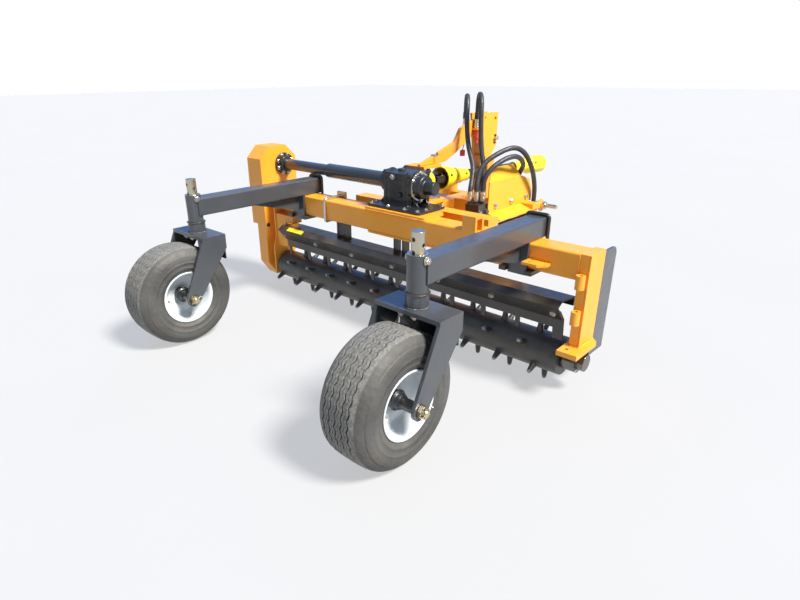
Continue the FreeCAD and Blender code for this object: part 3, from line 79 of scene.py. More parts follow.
# %% [markdown]
# ## The camera
# The camera stands behind the machine, to its right and above it, about two and a half metres away.
# A lens of 25 mm on a 36 mm sensor gives the strong perspective of a close viewpoint: the near wheel
# looks much larger than the far one. A lens shift moves the view without turning the camera, so the
# uprights keep their slant.

# %% Camera
VIEW_AZIMUTH = math.radians(43.7)
VIEW_ELEVATION = math.radians(23.1)
VIEW_ROLL = math.radians(-0.5)
camera_data = bpy.data.cameras.new("camera")
camera_data.lens = 25.04
camera_data.sensor_width = 36.0
camera_data.shift_x = 0.0257
camera_data.shift_y = 0.0116
camera_data.clip_end = 200.0
camera = bpy.data.objects.new("camera", camera_data)
camera.location = mm(1675, -1862, 1161)
aim = Euler((math.pi / 2 - VIEW_ELEVATION, 0, VIEW_AZIMUTH)).to_matrix()
roll = Euler((0, 0, VIEW_ROLL)).to_matrix()
camera.rotation_euler = (aim @ roll).to_euler()
scene.collection.objects.link(camera)
scene.camera = camera
print("camera at", tuple(round(v, 3) for v in camera.location))

# %% [markdown]
# ## Four hydraulic hoses
# Two supply hoses rise from the valve block, arch over and end in quick couplings held on the
# brace; two more run over the guard to the ends of the swing cylinder. A hose is a length of rubber
# with steel wire in its wall, so it keeps round, wide bends and leaves each fitting straight.
# A NURBS curve does the same: it is pulled towards its control points and never kinks. The order is
# set after the points, because a new spline only accepts an order that its points allow.

# %% Hoses
HOSE_D = 0.024
HOSE_ROUTES = {
    "hose_supply_right": (
        (142, 446, 594), (142, 446, 632), (143, 472, 664), (138, 494, 708), (124, 502, 756),
        (108, 507, 808), (97, 512, 866), (90, 516, 928), (84, 521, 988), (72, 536, 1040),
        (36, 577, 1062), (-3, 623, 1046), (-20, 645, 998), (-20, 645, 940)),
    "hose_supply_left": (
        (134, 392, 594), (134, 392, 630), (126, 410, 662), (114, 436, 694), (94, 464, 730),
        (66, 486, 766), (34, 505, 812), (14, 517, 866), (2, 525, 922), (-5, 531, 980),
        (-17, 549, 1030), (-46, 586, 1052), (-77, 624, 1040), (-92, 645, 994), (-92, 645, 940)),
    "hose_cylinder_cap": (
        (158, 410, 594), (158, 410, 634), (150, 426, 682), (148, 450, 730), (160, 482, 764),
        (182, 524, 790), (202, 573, 810), (221, 622, 818), (237, 668, 802), (246, 712, 766),
        (248, 755, 716), (241, 800, 664), (231, 840, 608), (225, 858, 556), (225, 856, 508),
        (225, 856, 470)),
    "hose_cylinder_rod": (
        (180, 432, 594), (180, 432, 632), (180, 437, 682), (193, 461, 728), (215, 508, 760),
        (232, 560, 778), (243, 608, 780), (244, 654, 762), (233, 697, 735), (212, 737, 714),
        (184, 757, 676), (163, 754, 620), (147, 743, 560), (142, 735, 518), (142, 735, 478)),
}
hoses = {}
for name, route in HOSE_ROUTES.items():
    curve = bpy.data.curves.new(name + "_run", "CURVE")
    curve.dimensions = "3D"
    curve.bevel_depth = HOSE_D / 2
    curve.bevel_resolution = 6
    curve.resolution_u = 8
    curve.use_fill_caps = True
    spline = curve.splines.new("NURBS")
    spline.points.add(len(route) - 1)
    for point, place in zip(spline.points, route):
        point.co = (*mm(*place), 1)
    spline.order_u = 3
    spline.use_endpoint_u = True
    hose = bpy.data.objects.new(name + "_rubber", curve)
    scene.collection.objects.link(hose)
    hoses[name] = hose
    print(name, "length", round(spline.calc_length(), 4), "m")

# %% [markdown]
# ## Building shader graphs
# A material is a graph of nodes. A few small helpers keep the script short: one adds a node and
# fills its sockets with values or with the outputs of other nodes, others do sums, mix colours and
# read a point's place, and one makes a node group with named sockets. An effect that several
# finishes share, such as dust, then exists once.

# %% Graph helpers
def add(tree, kind, sockets=None, **settings):
    """Adds a node; each named socket takes a value or another node's output."""
    made = tree.nodes.new(kind)
    for key, value in settings.items():
        setattr(made, key, value)
    for key, value in (sockets or {}).items():
        if isinstance(value, bpy.types.NodeSocket):
            tree.links.new(value, made.inputs[key])
        else:
            made.inputs[key].default_value = value
    return made


def maths(tree, operation, *values, clamp=False):
    """A Math node's result."""
    kind = "ShaderNodeMath"
    return add(tree, kind, dict(enumerate(values)), operation=operation, use_clamp=clamp).outputs[0]


def mix_colour(tree, factor, a, b):
    """Colour a where the factor is 0, b where it is 1."""
    made = add(tree, "ShaderNodeMix", {"Factor": factor}, data_type="RGBA")
    for index, value in ((6, a), (7, b)):
        if isinstance(value, bpy.types.NodeSocket):
            tree.links.new(value, made.inputs[index])
        else:
            made.inputs[index].default_value = (*value, 1)
    return made.outputs[2]


def remap(tree, value, low, high, to_low=0.0, to_high=1.0):
    """Value moved from one range to another, and kept inside it."""
    return add(tree, "ShaderNodeMapRange", {
        "Value": value, "From Min": low, "From Max": high,
        "To Min": to_low, "To Max": to_high}).outputs[0]


def new_group(name, kind, inputs, outputs):
    """A node group with named sockets, and its input and output nodes."""
    group = bpy.data.node_groups.new(name, kind)
    for label, socket_type, value in inputs:
        socket = group.interface.new_socket(label, in_out="INPUT", socket_type=socket_type)
        if value is not None:
            socket.default_value = value
    for label, socket_type in outputs:
        group.interface.new_socket(label, in_out="OUTPUT", socket_type=socket_type)
    return group, add(group, "NodeGroupInput"), add(group, "NodeGroupOutput")


def own_place(tree):
    """The place of each point in its object, which is a place in the frame here."""
    return add(tree, "ShaderNodeTexCoord").outputs["Object"]


def split(tree, vector):
    """A vector's three numbers."""
    return add(tree, "ShaderNodeSeparateXYZ", {0: vector}).outputs


def joined_up(tree, *numbers):
    """A vector from three numbers."""
    return add(tree, "ShaderNodeCombineXYZ", dict(enumerate(numbers))).outputs[0]


def noise(tree, vector, scale, detail=3.0, roughness=0.5):
    """A noise pattern's value, from 0 to 1."""
    return add(tree, "ShaderNodeTexNoise", {
        "Vector": vector, "Scale": scale, "Detail": detail, "Roughness": roughness}).outputs[0]


print("graph helpers ready")

# %% [markdown]
# ## Shared effect: the skin of a coat or casting
# Every real surface has some relief: sprayed paint dries like orange peel, sand casting leaves grains,
# and no folded or sawn edge is perfectly sharp. The group rounds edges with a Bevel node, which looks
# at the surface near each point, and adds noise as a fine bump on top. It also gives a mask of the
# edges, where a coat is thin and rubs through first; the finishes also use this mask to paint a
# lighter highlight along edges.

# %% Group: surface skin
FLOAT, VECTOR = "NodeSocketFloat", "NodeSocketVector"
skin, skin_in, skin_out = new_group(
    "surface_skin", "ShaderNodeTree",
    (("Edge Radius", FLOAT, 0.0015), ("Grain Scale", FLOAT, 300.0), ("Grain Depth", FLOAT, 0.1),
     ("Wave Scale", FLOAT, 14.0), ("Wave Depth", FLOAT, 0.1)),
    (("Normal", VECTOR), ("Edge", FLOAT)))
where = own_place(skin)
rounded = add(skin, "ShaderNodeBevel", {"Radius": skin_in.outputs["Edge Radius"]}, samples=4)
flat = add(skin, "ShaderNodeNewGeometry").outputs["Normal"]
aligned = add(skin, "ShaderNodeVectorMath", {0: rounded.outputs[0], 1: flat},
              operation="DOT_PRODUCT").outputs["Value"]
edge = remap(skin, aligned, 0.985, 0.86)
patchy = remap(skin, noise(skin, where, 60.0), 0.42, 0.62)
skin.links.new(maths(skin, "MULTIPLY", edge, patchy), skin_out.inputs["Edge"])
grain = noise(skin, where, skin_in.outputs["Grain Scale"], 2.0)
waves = noise(skin, where, skin_in.outputs["Wave Scale"], 1.0)
coarse = add(skin, "ShaderNodeBump", {
    "Strength": skin_in.outputs["Wave Depth"], "Distance": 0.01, "Height": waves,
    "Normal": rounded.outputs[0]}).outputs[0]
fine = add(skin, "ShaderNodeBump", {
    "Strength": skin_in.outputs["Grain Depth"], "Distance": 0.001, "Height": grain,
    "Normal": coarse}).outputs[0]
skin.links.new(fine, skin_out.inputs["Normal"])
print("group:", skin.name)

# %% [markdown]
# ## Shared effect: dust
# Dry soil settles where a surface faces up and sticks near the ground, in uneven patches. The
# group reads how far the surface faces up and how high the point is, and breaks the result up
# with two sizes of noise. The mask then drives both colour and roughness.

# %% Group: dust
dust, dust_in, dust_out = new_group(
    "settled_dust", "ShaderNodeTree",
    (("Amount", FLOAT, 0.3), ("Low Height", FLOAT, 0.1), ("High Height", FLOAT, 0.6)),
    (("Mask", FLOAT),))
where = own_place(dust)
height = split(dust, where)[2]
facing = split(dust, add(dust, "ShaderNodeNewGeometry").outputs["Normal"])[2]
lying = remap(dust, facing, 0.2, 1.0, 0.25, 1.0)
low = add(dust, "ShaderNodeMapRange", {
    "Value": height, "From Min": dust_in.outputs["Low Height"],
    "From Max": dust_in.outputs["High Height"], "To Min": 1.0, "To Max": 0.35}).outputs[0]
clouds = remap(dust, noise(dust, where, 9.0, 6.0, 0.62), 0.38, 0.72)
specks = remap(dust, noise(dust, where, 420.0, 2.0), 0.45, 0.7, 0.5, 1.0)
mask = maths(dust, "MULTIPLY", maths(dust, "MULTIPLY", lying, low),
             maths(dust, "MULTIPLY", clouds, specks))
mask = maths(dust, "MULTIPLY", mask, dust_in.outputs["Amount"], clamp=True)
dust.links.new(mask, dust_out.inputs["Mask"])
print("group:", dust.name)

# %% [markdown]
# ## Finishes
# Each finish is one recipe with its own numbers: a body colour that drifts a little from place to
# place, an edge colour that is partly undercoat or bare metal showing through wear and, where it is
# lighter than the body, partly a painted edge highlight, dust, a roughness that varies, and the skin's
# normal. The Principled shader itself stays in the material. A clear gloss over the colour is its
# coat, as on sprayed enamel.

# %% A finish recipe
SOIL = (0.36, 0.29, 0.21)


def finish_of(name, colour, drift, worn, rough, metal=0.0, coat=0.0, edge_wear_and_highlight=0.3, dusty=0.15,
              edge=0.0015, grain=(300.0, 0.12), wave=(14.0, 0.08), spread=6.0, ior=1.5):
    """A procedural material: colour, drift and the edge colour, which is wear and a painted highlight,
    are linear colours.
    """
    material = bpy.data.materials.new(name)
    material.use_nodes = True
    tree = material.node_tree
    shader = tree.nodes["Principled BSDF"]
    relief = add(tree, "ShaderNodeGroup", node_tree=skin)
    for label, value in (("Edge Radius", edge), ("Grain Scale", grain[0]),
                         ("Grain Depth", grain[1]), ("Wave Scale", wave[0]),
                         ("Wave Depth", wave[1])):
        relief.inputs[label].default_value = value
    soil = add(tree, "ShaderNodeGroup", node_tree=dust)
    soil.inputs["Amount"].default_value = dusty
    where = own_place(tree)
    patch = remap(tree, noise(tree, where, spread, 4.0, 0.6), 0.3, 0.7)
    body = mix_colour(tree, patch, colour, drift)
    # Edges take the edge colour: partly wear, and a painted highlight where that colour is lighter
    # than the body.
    edge_wear_and_highlight_mask = maths(tree, "MULTIPLY", relief.outputs["Edge"], edge_wear_and_highlight)
    body = mix_colour(tree, edge_wear_and_highlight_mask, body, worn)
    body = mix_colour(tree, soil.outputs["Mask"], body, SOIL)
    tree.links.new(body, shader.inputs["Base Color"])
    streaks = noise(tree, where, 35.0, 3.0)
    roughness = remap(tree, streaks, 0.3, 0.7, rough * 0.85, rough * 1.15)
    roughness = maths(tree, "ADD", roughness,
                      maths(tree, "MULTIPLY", soil.outputs["Mask"], 0.5), clamp=True)
    tree.links.new(roughness, shader.inputs["Roughness"])
    tree.links.new(relief.outputs["Normal"], shader.inputs["Normal"])
    shader.inputs["Metallic"].default_value = metal
    shader.inputs["Coat Weight"].default_value = coat
    shader.inputs["Coat Roughness"].default_value = 0.12
    shader.inputs["IOR"].default_value = ior
    return material


# The third colour of each finish is its edge colour: wear, and a painted edge highlight where it is
# lighter than the body.
FINISHES = {
    "orange_paint": finish_of(
        "amber_enamel", (0.86, 0.35, 0.022), (0.80, 0.31, 0.018), (0.95, 0.55, 0.12),
        0.42, coat=0.2, edge_wear_and_highlight=0.35, dusty=0.06),
    "yellow_paint": finish_of(
        "yellow_enamel", (0.82, 0.40, 0.016), (0.78, 0.36, 0.013), (0.96, 0.68, 0.2),
        0.42, coat=0.2, edge_wear_and_highlight=0.3, dusty=0.05),
    "dark_grey_paint": finish_of(
        "anthracite_enamel", (0.050, 0.056, 0.063), (0.041, 0.046, 0.053), (0.18, 0.19, 0.21),
        0.36, coat=0.45, edge_wear_and_highlight=0.45, dusty=0.22),
    "blue_grey_paint": finish_of(
        "slate_enamel", (0.030, 0.036, 0.047), (0.023, 0.028, 0.036), (0.15, 0.17, 0.20),
        0.28, coat=0.5, edge_wear_and_highlight=0.3, dusty=0.10),
    "black_paint": finish_of(
        "black_enamel", (0.020, 0.018, 0.0155), (0.032, 0.029, 0.025), (0.17, 0.16, 0.15),
        0.36, coat=0.3, edge_wear_and_highlight=0.5, dusty=0.10),
    "black_casting": finish_of(
        "black_sand_casting", (0.010, 0.011, 0.013), (0.015, 0.017, 0.020), (0.08, 0.09, 0.10),
        0.40, coat=0.3, edge_wear_and_highlight=0.3, dusty=0.03, edge=0.003, grain=(420.0, 0.5), wave=(40.0, 0.2)),
    "white_paint": finish_of(
        "white_rim_enamel", (0.62, 0.67, 0.70), (0.55, 0.60, 0.63), (0.45, 0.44, 0.42),
        0.30, coat=0.4, edge_wear_and_highlight=0.35, dusty=0.35),
    "dark_steel": finish_of(
        "dark_steel", (0.16, 0.15, 0.14), (0.10, 0.095, 0.09), (0.42, 0.41, 0.40),
        0.42, metal=0.9, edge_wear_and_highlight=0.6, dusty=0.25, grain=(500.0, 0.3)),
    "zinc": finish_of(
        "zinc_plating", (0.66, 0.64, 0.58), (0.56, 0.53, 0.44), (0.80, 0.79, 0.76),
        0.30, metal=1.0, edge_wear_and_highlight=0.4, dusty=0.12, edge=0.0008, grain=(600.0, 0.15), spread=25.0),
    "chrome": finish_of(
        "hard_chrome", (0.78, 0.79, 0.80), (0.72, 0.73, 0.75), (0.82, 0.83, 0.84),
        0.10, metal=1.0, edge_wear_and_highlight=0.1, dusty=0.05, grain=(900.0, 0.03)),
    "yellow_plastic": finish_of(
        "lemon_plastic", (0.86, 0.70, 0.020), (0.80, 0.63, 0.016), (0.90, 0.80, 0.25),
        0.38, edge_wear_and_highlight=0.15, dusty=0.12, grain=(380.0, 0.2), wave=(25.0, 0.1), ior=1.46),
    "black_plastic": finish_of(
        "black_plastic", (0.020, 0.020, 0.021), (0.028, 0.028, 0.029), (0.07, 0.07, 0.07),
        0.42, edge_wear_and_highlight=0.2, dusty=0.15, grain=(500.0, 0.3), ior=1.46),
    "hose_rubber": finish_of(
        "hose_rubber", (0.028, 0.028, 0.030), (0.036, 0.036, 0.037), (0.06, 0.06, 0.06),
        0.45, edge_wear_and_highlight=0.1, dusty=0.10, edge=0.001, grain=(700.0, 0.35), wave=(90.0, 0.15)),
    "tyre_rubber": finish_of(
        "tyre_rubber", (0.036, 0.036, 0.035), (0.078, 0.077, 0.073), (0.20, 0.194, 0.18),
        0.60, edge_wear_and_highlight=0.6, dusty=0.45, edge=0.002, grain=(500.0, 0.5), wave=(60.0, 0.2)),
}
print(len(FINISHES), "finishes")

# %% [markdown]
# ## Painting the frame
# The frame's pieces carry the names of their finishes, so one loop paints all of them. Only the
# material changes: the frame's shapes are the engineering model and stay as they are.

# %% Paint the frame's pieces
for name, node in nodes.items():
    for place in node.material_slots:
        place.material = FINISHES[place.material.name.split(".")[0]]
print("painted", len(nodes), "pieces")

# %% [markdown]
# ## Growing pieces with Geometry Nodes
# Much of this machine is turned, bolted or welded, so its small parts follow rules. Each rule is a
# Geometry Nodes tree with named inputs. The next helper hands a tree its starting points and sizes,
# keeps the result as plain mesh, closes its seams, turns its faces outwards and marks as sharp only
# what bends by more than a set angle. A tree's input is set by its socket's identifier. Another helper
# puts a finished piece on the body it rides on and hides the frame's pieces that it stands for.

# %% Helper: grow a piece
GEOMETRY, MATERIAL, INTEGER = "NodeSocketGeometry", "NodeSocketMaterial", "NodeSocketInt"


def grow(name, tree, points, sizes, attributes=(), edges=(), sharp=38.0):
    """Runs a tree on a mesh of points and keeps the result as plain mesh."""
    mesh = bpy.data.meshes.new(name)
    mesh.from_pydata(points, edges, [])
    for label, kind, field, values in attributes:
        mesh.attributes.new(label, kind, "POINT").data.foreach_set(field, values)
    piece = bpy.data.objects.new(name, mesh)
    scene.collection.objects.link(piece)
    modifier = piece.modifiers.new("grown", "NODES")
    modifier.node_group = tree
    for socket in tree.interface.items_tree:
        if socket.in_out == "INPUT" and socket.name in sizes:
            modifier[socket.identifier] = sizes[socket.name]
    return settled(piece, sharp)


def dress(piece, body, slot, stands_for=()):
    """Gives a finished piece its body and its finish, and hides the frame's pieces that it stands for.
    """
    if not piece.data.materials:
        piece.data.materials.append(FINISHES[slot])
    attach(piece, body)
    if stands_for:
        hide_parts(*stands_for)
    return piece


def tidy_mesh(mesh, sharp=38.0):
    """Closes seams, turns faces outwards and smooths all but the sharp edges."""
    shape = bmesh.new()
    shape.from_mesh(mesh)
    bmesh.ops.remove_doubles(shape, verts=shape.verts, dist=2e-6)
    bmesh.ops.recalc_face_normals(shape, faces=shape.faces)
    shape.to_mesh(mesh)
    shape.free()
    mesh.shade_smooth()
    mesh.set_sharp_from_angle(angle=math.radians(sharp))


def settled(piece, sharp=38.0):
    """Applies a piece's modifiers and keeps the result as plain mesh."""
    ready = piece.evaluated_get(bpy.context.evaluated_depsgraph_get())
    mesh = bpy.data.meshes.new_from_object(ready)
    piece.modifiers.clear()
    piece.data = mesh
    tidy_mesh(mesh, sharp)
    return piece


def end_tree(tree, shape, finish, out):
    """Makes copies real, paints the shape and hands it out."""
    real = add(tree, "GeometryNodeRealizeInstances", {"Geometry": shape}).outputs[0]
    painted = add(tree, "GeometryNodeSetMaterial", {"Geometry": real, "Material": finish})
    tree.links.new(painted.outputs[0], out.inputs[0])


def facing_axis(tree):
    """A turn that points a copy along the axis kept on its point."""
    look = add(tree, "GeometryNodeInputNamedAttribute", {"Name": "axis"}, data_type="FLOAT_VECTOR")
    return add(tree, "FunctionNodeAlignRotationToVector", {"Vector": look.outputs[0]},
               axis="Z").outputs[0]


print("ready to grow pieces")

# %% [markdown]
# ## Tree: turned shapes
# Tyres, rims, hubs, flanges, ferrules and guards are all made on a lathe or in a round mould. The
# tree bends a flat grid round an axis: a row of the grid follows each point of the profile. For a
# tread it also moves the points that carry a sway to and fro along the axis, in a zigzag, so the
# grooves run round the tyre in steps as the real ones do.

# %% Tree: turned shape
turned, t_in, t_out = new_group(
    "turned_shape", "GeometryNodeTree",
    (("Profile", GEOMETRY, None), ("Segments", INTEGER, 64), ("Waves", FLOAT, 0.0),
     ("Sway", FLOAT, 0.0), ("Turn", VECTOR, (0, 0, 0)), ("Place", VECTOR, (0, 0, 0)),
     ("Finish", MATERIAL, None)), (("Shape", GEOMETRY),))
rows = add(turned, "GeometryNodeAttributeDomainSize",
           {"Geometry": t_in.outputs["Profile"]}).outputs["Point Count"]
columns = maths(turned, "ADD", t_in.outputs["Segments"], 1.0)
grid = add(turned, "GeometryNodeMeshGrid", {"Vertices X": columns, "Vertices Y": rows}).outputs[0]
index = add(turned, "GeometryNodeInputIndex").outputs[0]
column = maths(turned, "FLOOR", maths(turned, "DIVIDE", maths(turned, "ADD", index, 0.5), rows))
row = maths(turned, "ROUND",
            maths(turned, "SUBTRACT", index, maths(turned, "MULTIPLY", column, rows)))
corner = add(turned, "GeometryNodeSampleIndex", {
    "Geometry": t_in.outputs["Profile"], "Value": add(turned, "GeometryNodeInputPosition").outputs[0],
    "Index": row}, data_type="FLOAT_VECTOR").outputs[0]
swaying = add(turned, "GeometryNodeSampleIndex", {
    "Geometry": t_in.outputs["Profile"],
    "Value": add(turned, "GeometryNodeInputNamedAttribute", {"Name": "sway"}).outputs[0],
    "Index": row}).outputs[0]
corner = split(turned, corner)
part_turn = maths(turned, "DIVIDE", column, t_in.outputs["Segments"])
angle = maths(turned, "MULTIPLY", part_turn, 2 * math.pi)
zigzag = maths(turned, "PINGPONG", maths(
    turned, "MULTIPLY", part_turn, maths(turned, "MULTIPLY", t_in.outputs["Waves"], 2.0)), 1.0)
zigzag = maths(turned, "MULTIPLY", maths(turned, "SUBTRACT", zigzag, 0.5),
               maths(turned, "MULTIPLY", swaying, t_in.outputs["Sway"]))
spot = joined_up(turned, maths(turned, "ADD", corner[0], zigzag),
                 maths(turned, "MULTIPLY", corner[1], maths(turned, "COSINE", angle)),
                 maths(turned, "MULTIPLY", corner[1], maths(turned, "SINE", angle)))
bent = add(turned, "GeometryNodeSetPosition", {"Geometry": grid, "Position": spot}).outputs[0]
closed = add(turned, "GeometryNodeMergeByDistance", {"Geometry": bent, "Distance": 1e-6}).outputs[0]
stood = add(turned, "GeometryNodeTransform", {
    "Geometry": closed, "Translation": t_in.outputs["Place"],
    "Rotation": t_in.outputs["Turn"]}).outputs[0]
end_tree(turned, stood, t_in.outputs["Finish"], t_out)

ALONG_X = (0.0, 0.0, 0.0)
ALONG_Z = (0.0, -math.pi / 2, 0.0)


def turn(name, profile, place, finish, along=ALONG_X, segments=64, waves=0.0, sway=0.0,
         sharp=38.0):
    """A turned piece. Profile: (along the axis, radius, share of the sway) in millimetres."""
    points = [(p[0] / 1000, p[1] / 1000, 0) for p in profile]
    shares = [p[2] if len(p) > 2 else 0.0 for p in profile]
    return grow(name, turned, points, {
        "Segments": segments, "Waves": waves, "Sway": sway / 1000, "Turn": along,
        "Place": tuple(mm(*place)), "Finish": FINISHES[finish]},
        (("sway", "FLOAT", "value", shares),), sharp=sharp)


def turned_on(body, name, profile, place, finish, slot=None, stands_for=(), **shape):
    """A turned piece, put on its body."""
    return dress(turn(name, profile, place, finish, **shape), body, slot or finish, stands_for)


print("tree:", turned.name)

# %% [markdown]
# ## Tyres
# The tyres are wide and soft, for turf and loose soil: a flat band of tread with five zigzag
# grooves, round shoulders and a plain side wall with two fine moulded ridges. Real grooves are cut
# into the mould, so here they are part of the profile, and the sway makes them zigzag. A second,
# finer set of shallow notches between them breaks up the ribs.

# %% Tyres
TYRE_R, TREAD_HALF, GROOVE_DEPTH = 228.0, 62.0, 8.0
GROOVES = (-50.0, -25.0, 0.0, 25.0, 50.0)
NOTCHES = (-37.5, -12.5, 12.5, 37.5)


def tread_radius(offset):
    """The tread's slight crown."""
    return TYRE_R - 3.0 * (offset / TREAD_HALF) ** 2


def groove(offset, half_width, depth):
    """Four corners of a groove with nearly upright walls."""
    top = tread_radius(offset)
    return [(offset - half_width, top, 1.0), (offset - half_width * 0.6, top - depth, 1.0),
            (offset + half_width * 0.6, top - depth, 1.0), (offset + half_width, top, 1.0)]


tread = []
for offset in sorted(GROOVES + NOTCHES):
    deep = offset in GROOVES
    tread += groove(offset, 3.0 if deep else 1.1, GROOVE_DEPTH if deep else 2.2)
SIDE = [(68, 223), (76, 217.6), (83, 210.5), (88, 203.5), (90.6, 198.5), (91.2, 197), (92.8, 196.6),
        (93.9, 194.5), (95.8, 188), (97.4, 180), (98.2, 172), (98.1, 165), (98.9, 163.6),
        (98.9, 160.6), (97.8, 159.2), (96, 150), (95.2, 142), (96.4, 140), (96.2, 136.5),
        (94.4, 134), (91, 127), (87.5, 121), (86.2, 117.6), (84, 112), (79, 108.6)]
left_side = [(-x, r) for x, r in reversed(SIDE)]
tyre_profile = left_side + tread + SIDE + [left_side[0]]
TREAD_WAVES, TREAD_SWAY, TYRE_SEGMENTS = 38.0, 8.0, 190
for side, x in CASTERS:
    tyre = turned_on("wheel_" + side, "tyre_tread_" + side, tyre_profile, (x, AXLE_Y, AXLE_Z),
                     "tyre_rubber", stands_for=("tyre_" + side,), segments=TYRE_SEGMENTS,
                     waves=TREAD_WAVES, sway=TREAD_SWAY, sharp=50.0)
    print(tyre.name, len(tyre.data.polygons), "faces")

# %% [markdown]
# ## Rims and hubs
# Each rim is two pressed steel halves, enamelled white: a rolled lip that holds the tyre, a deep
# well and a dished disc. The disc carries a black hub with a stepped flange and a long spacer that
# reaches the fork. All of it is turned, and the lip is rolled rather than cut, so its profile is
# given a round edge.

# %% Rims and hubs
RIM = [(-79, 108.4), (-83, 112), (-86, 117), (-88.5, 118.2), (-90.6, 117.2), (-91, 114.6),
       (-88.6, 110), (-84, 105), (-72, 100.5), (-40, 92), (-32, 87), (-30, 86), (12, 86),
       (16, 84), (17, 78), (13, 60), (10, 46), (4, 40), (2, 30), (8, 30), (10, 38), (17, 44),
       (20, 60), (24, 78), (25, 84), (30, 87.5), (34, 91), (40, 93), (72, 100.5), (84, 105),
       (88.6, 110), (91, 114.6), (90.6, 117.2), (88.5, 118.2), (86, 117), (83, 112), (79, 108.4),
       (70, 103.6), (40, 96.5), (-40, 96.5), (-70, 103.6), (-79, 108.4)]
HUB = [(-70, 13), (-70, 23), (-46, 24), (-44, 31), (-38, 32), (-36, 29.5), (30, 29.5), (31, 30),
       (33, 33), (36, 34.5), (41, 34.5), (43, 33), (44, 30), (47, 27.5), (56, 26.5), (60, 24),
       (61, 20), (70, 20), (70, 13), (-70, 13)]
for side, x in CASTERS:
    turned_on("wheel_" + side, "rim_dish_" + side, RIM, (x, AXLE_Y, AXLE_Z), "white_paint",
              stands_for=("rim_" + side,), segments=96, sharp=60.0)
    turned_on("wheel_" + side, "hub_" + side, HUB, (x, AXLE_Y, AXLE_Z), "black_casting",
              segments=48)
print("rims and hubs turned")

# %% [markdown]
# ## Tree: bolts on points
# The machine is held together by dozens of plated hexagon bolts. The tree puts one on every point it
# is given: a washer, a six-sided head whose corners are chamfered, and, for a nut, the end of its
# stud. An attribute on each point says which way the bolt looks, and each head is turned by its own
# amount, because nobody lines them up.

# %% Tree: bolts on points
bolting, b_in, b_out = new_group(
    "bolts_on_points", "GeometryNodeTree",
    (("Places", GEOMETRY, None), ("Head Radius", FLOAT, 0.01), ("Head Height", FLOAT, 0.007),
     ("Washer Radius", FLOAT, 0.013), ("Washer Height", FLOAT, 0.002), ("Stud Radius", FLOAT, 0.005),
     ("Stud Height", FLOAT, 0.0), ("Seed", INTEGER, 1), ("Finish", MATERIAL, None)),
    (("Bolts", GEOMETRY),))


def drum(tree, sides, bottom, top, depth, lift):
    """A closed round or many-sided shape that stands at a height above the point."""
    made = add(tree, "GeometryNodeMeshCone", {
        "Vertices": sides, "Radius Bottom": bottom, "Radius Top": top, "Depth": depth}).outputs[0]
    return add(tree, "GeometryNodeTransform", {
        "Geometry": made, "Translation": joined_up(tree, 0.0, 0.0, lift)}).outputs[0]


head_r, head_h = b_in.outputs["Head Radius"], b_in.outputs["Head Height"]
washer_h = b_in.outputs["Washer Height"]
straight = maths(bolting, "MULTIPLY", head_h, 0.78)
chamfer_at = maths(bolting, "ADD", washer_h, straight)
joined = add(bolting, "GeometryNodeJoinGeometry")
for solid in (
        drum(bolting, 20, b_in.outputs["Washer Radius"], b_in.outputs["Washer Radius"], washer_h, 0.0),
        drum(bolting, 6, head_r, head_r, straight, washer_h),
        drum(bolting, 6, head_r, maths(bolting, "MULTIPLY", head_r, 0.84),
             maths(bolting, "MULTIPLY", head_h, 0.22), chamfer_at),
        drum(bolting, 12, b_in.outputs["Stud Radius"],
             maths(bolting, "MULTIPLY", b_in.outputs["Stud Radius"], 0.88),
             b_in.outputs["Stud Height"], maths(bolting, "ADD", washer_h, head_h))):
    bolting.links.new(solid, joined.inputs[0])
set_out = add(bolting, "GeometryNodeInstanceOnPoints", {
    "Points": b_in.outputs["Places"], "Instance": joined.outputs[0],
    "Rotation": facing_axis(bolting)}).outputs[0]
chance = add(bolting, "FunctionNodeRandomValue", {
    "Max": 1.05, "Seed": b_in.outputs["Seed"]}).outputs[1]
spun = add(bolting, "GeometryNodeRotateInstances", {
    "Instances": set_out, "Rotation": joined_up(bolting, 0.0, 0.0, chance)}).outputs[0]
end_tree(bolting, spun, b_in.outputs["Finish"], b_out)

UP, DOWN = (0, 0, 1), (0, 0, -1)
RIGHT = (1, 0, 0)
FRONT, REAR = (0, 1, 0), (0, -1, 0)


def bolt(name, body, places, size, finish="zinc", stud=0.0, seed=1, stands_for=(), flat=0.6):
    """Bolts of one thread size, in mm, at (x, y, z, axis)."""
    points = [tuple(mm(*place[:3])) for place in places]
    axes = [v for place in places for v in place[3]]
    piece = grow(name, bolting, points, {
        "Head Radius": size * 0.00095, "Head Height": size * flat / 1000,
        "Washer Radius": size * 0.00118, "Washer Height": size * 0.00016,
        "Stud Radius": size * 0.0005, "Stud Height": max(stud, 0.01) / 1000, "Seed": seed,
        "Finish": FINISHES[finish]}, (("axis", "FLOAT_VECTOR", "vector", axes),))
    return dress(piece, body, finish, stands_for)


print("tree:", bolting.name)

# %% [markdown]
# ## Bolts where the machine has them
# The gearbox's foot and covers, the chain case's flange, the cylinder's guard, the barrier's strip,
# the clamps, the stems, a bearing's cap and the plates of the forks each get their own set. Sizes are
# near those of common metric bolts.

# %% Bolts on the main frame
def ring_of(centre, radius, count, first):
    """Places for bolts that look to the right, spread round a centre; first is in degrees."""
    x, y, z = centre
    angles = [math.radians(first + 360 / count * step) for step in range(count)]
    return [(x, y + radius * math.cos(a), z + radius * math.sin(a), RIGHT) for a in angles]


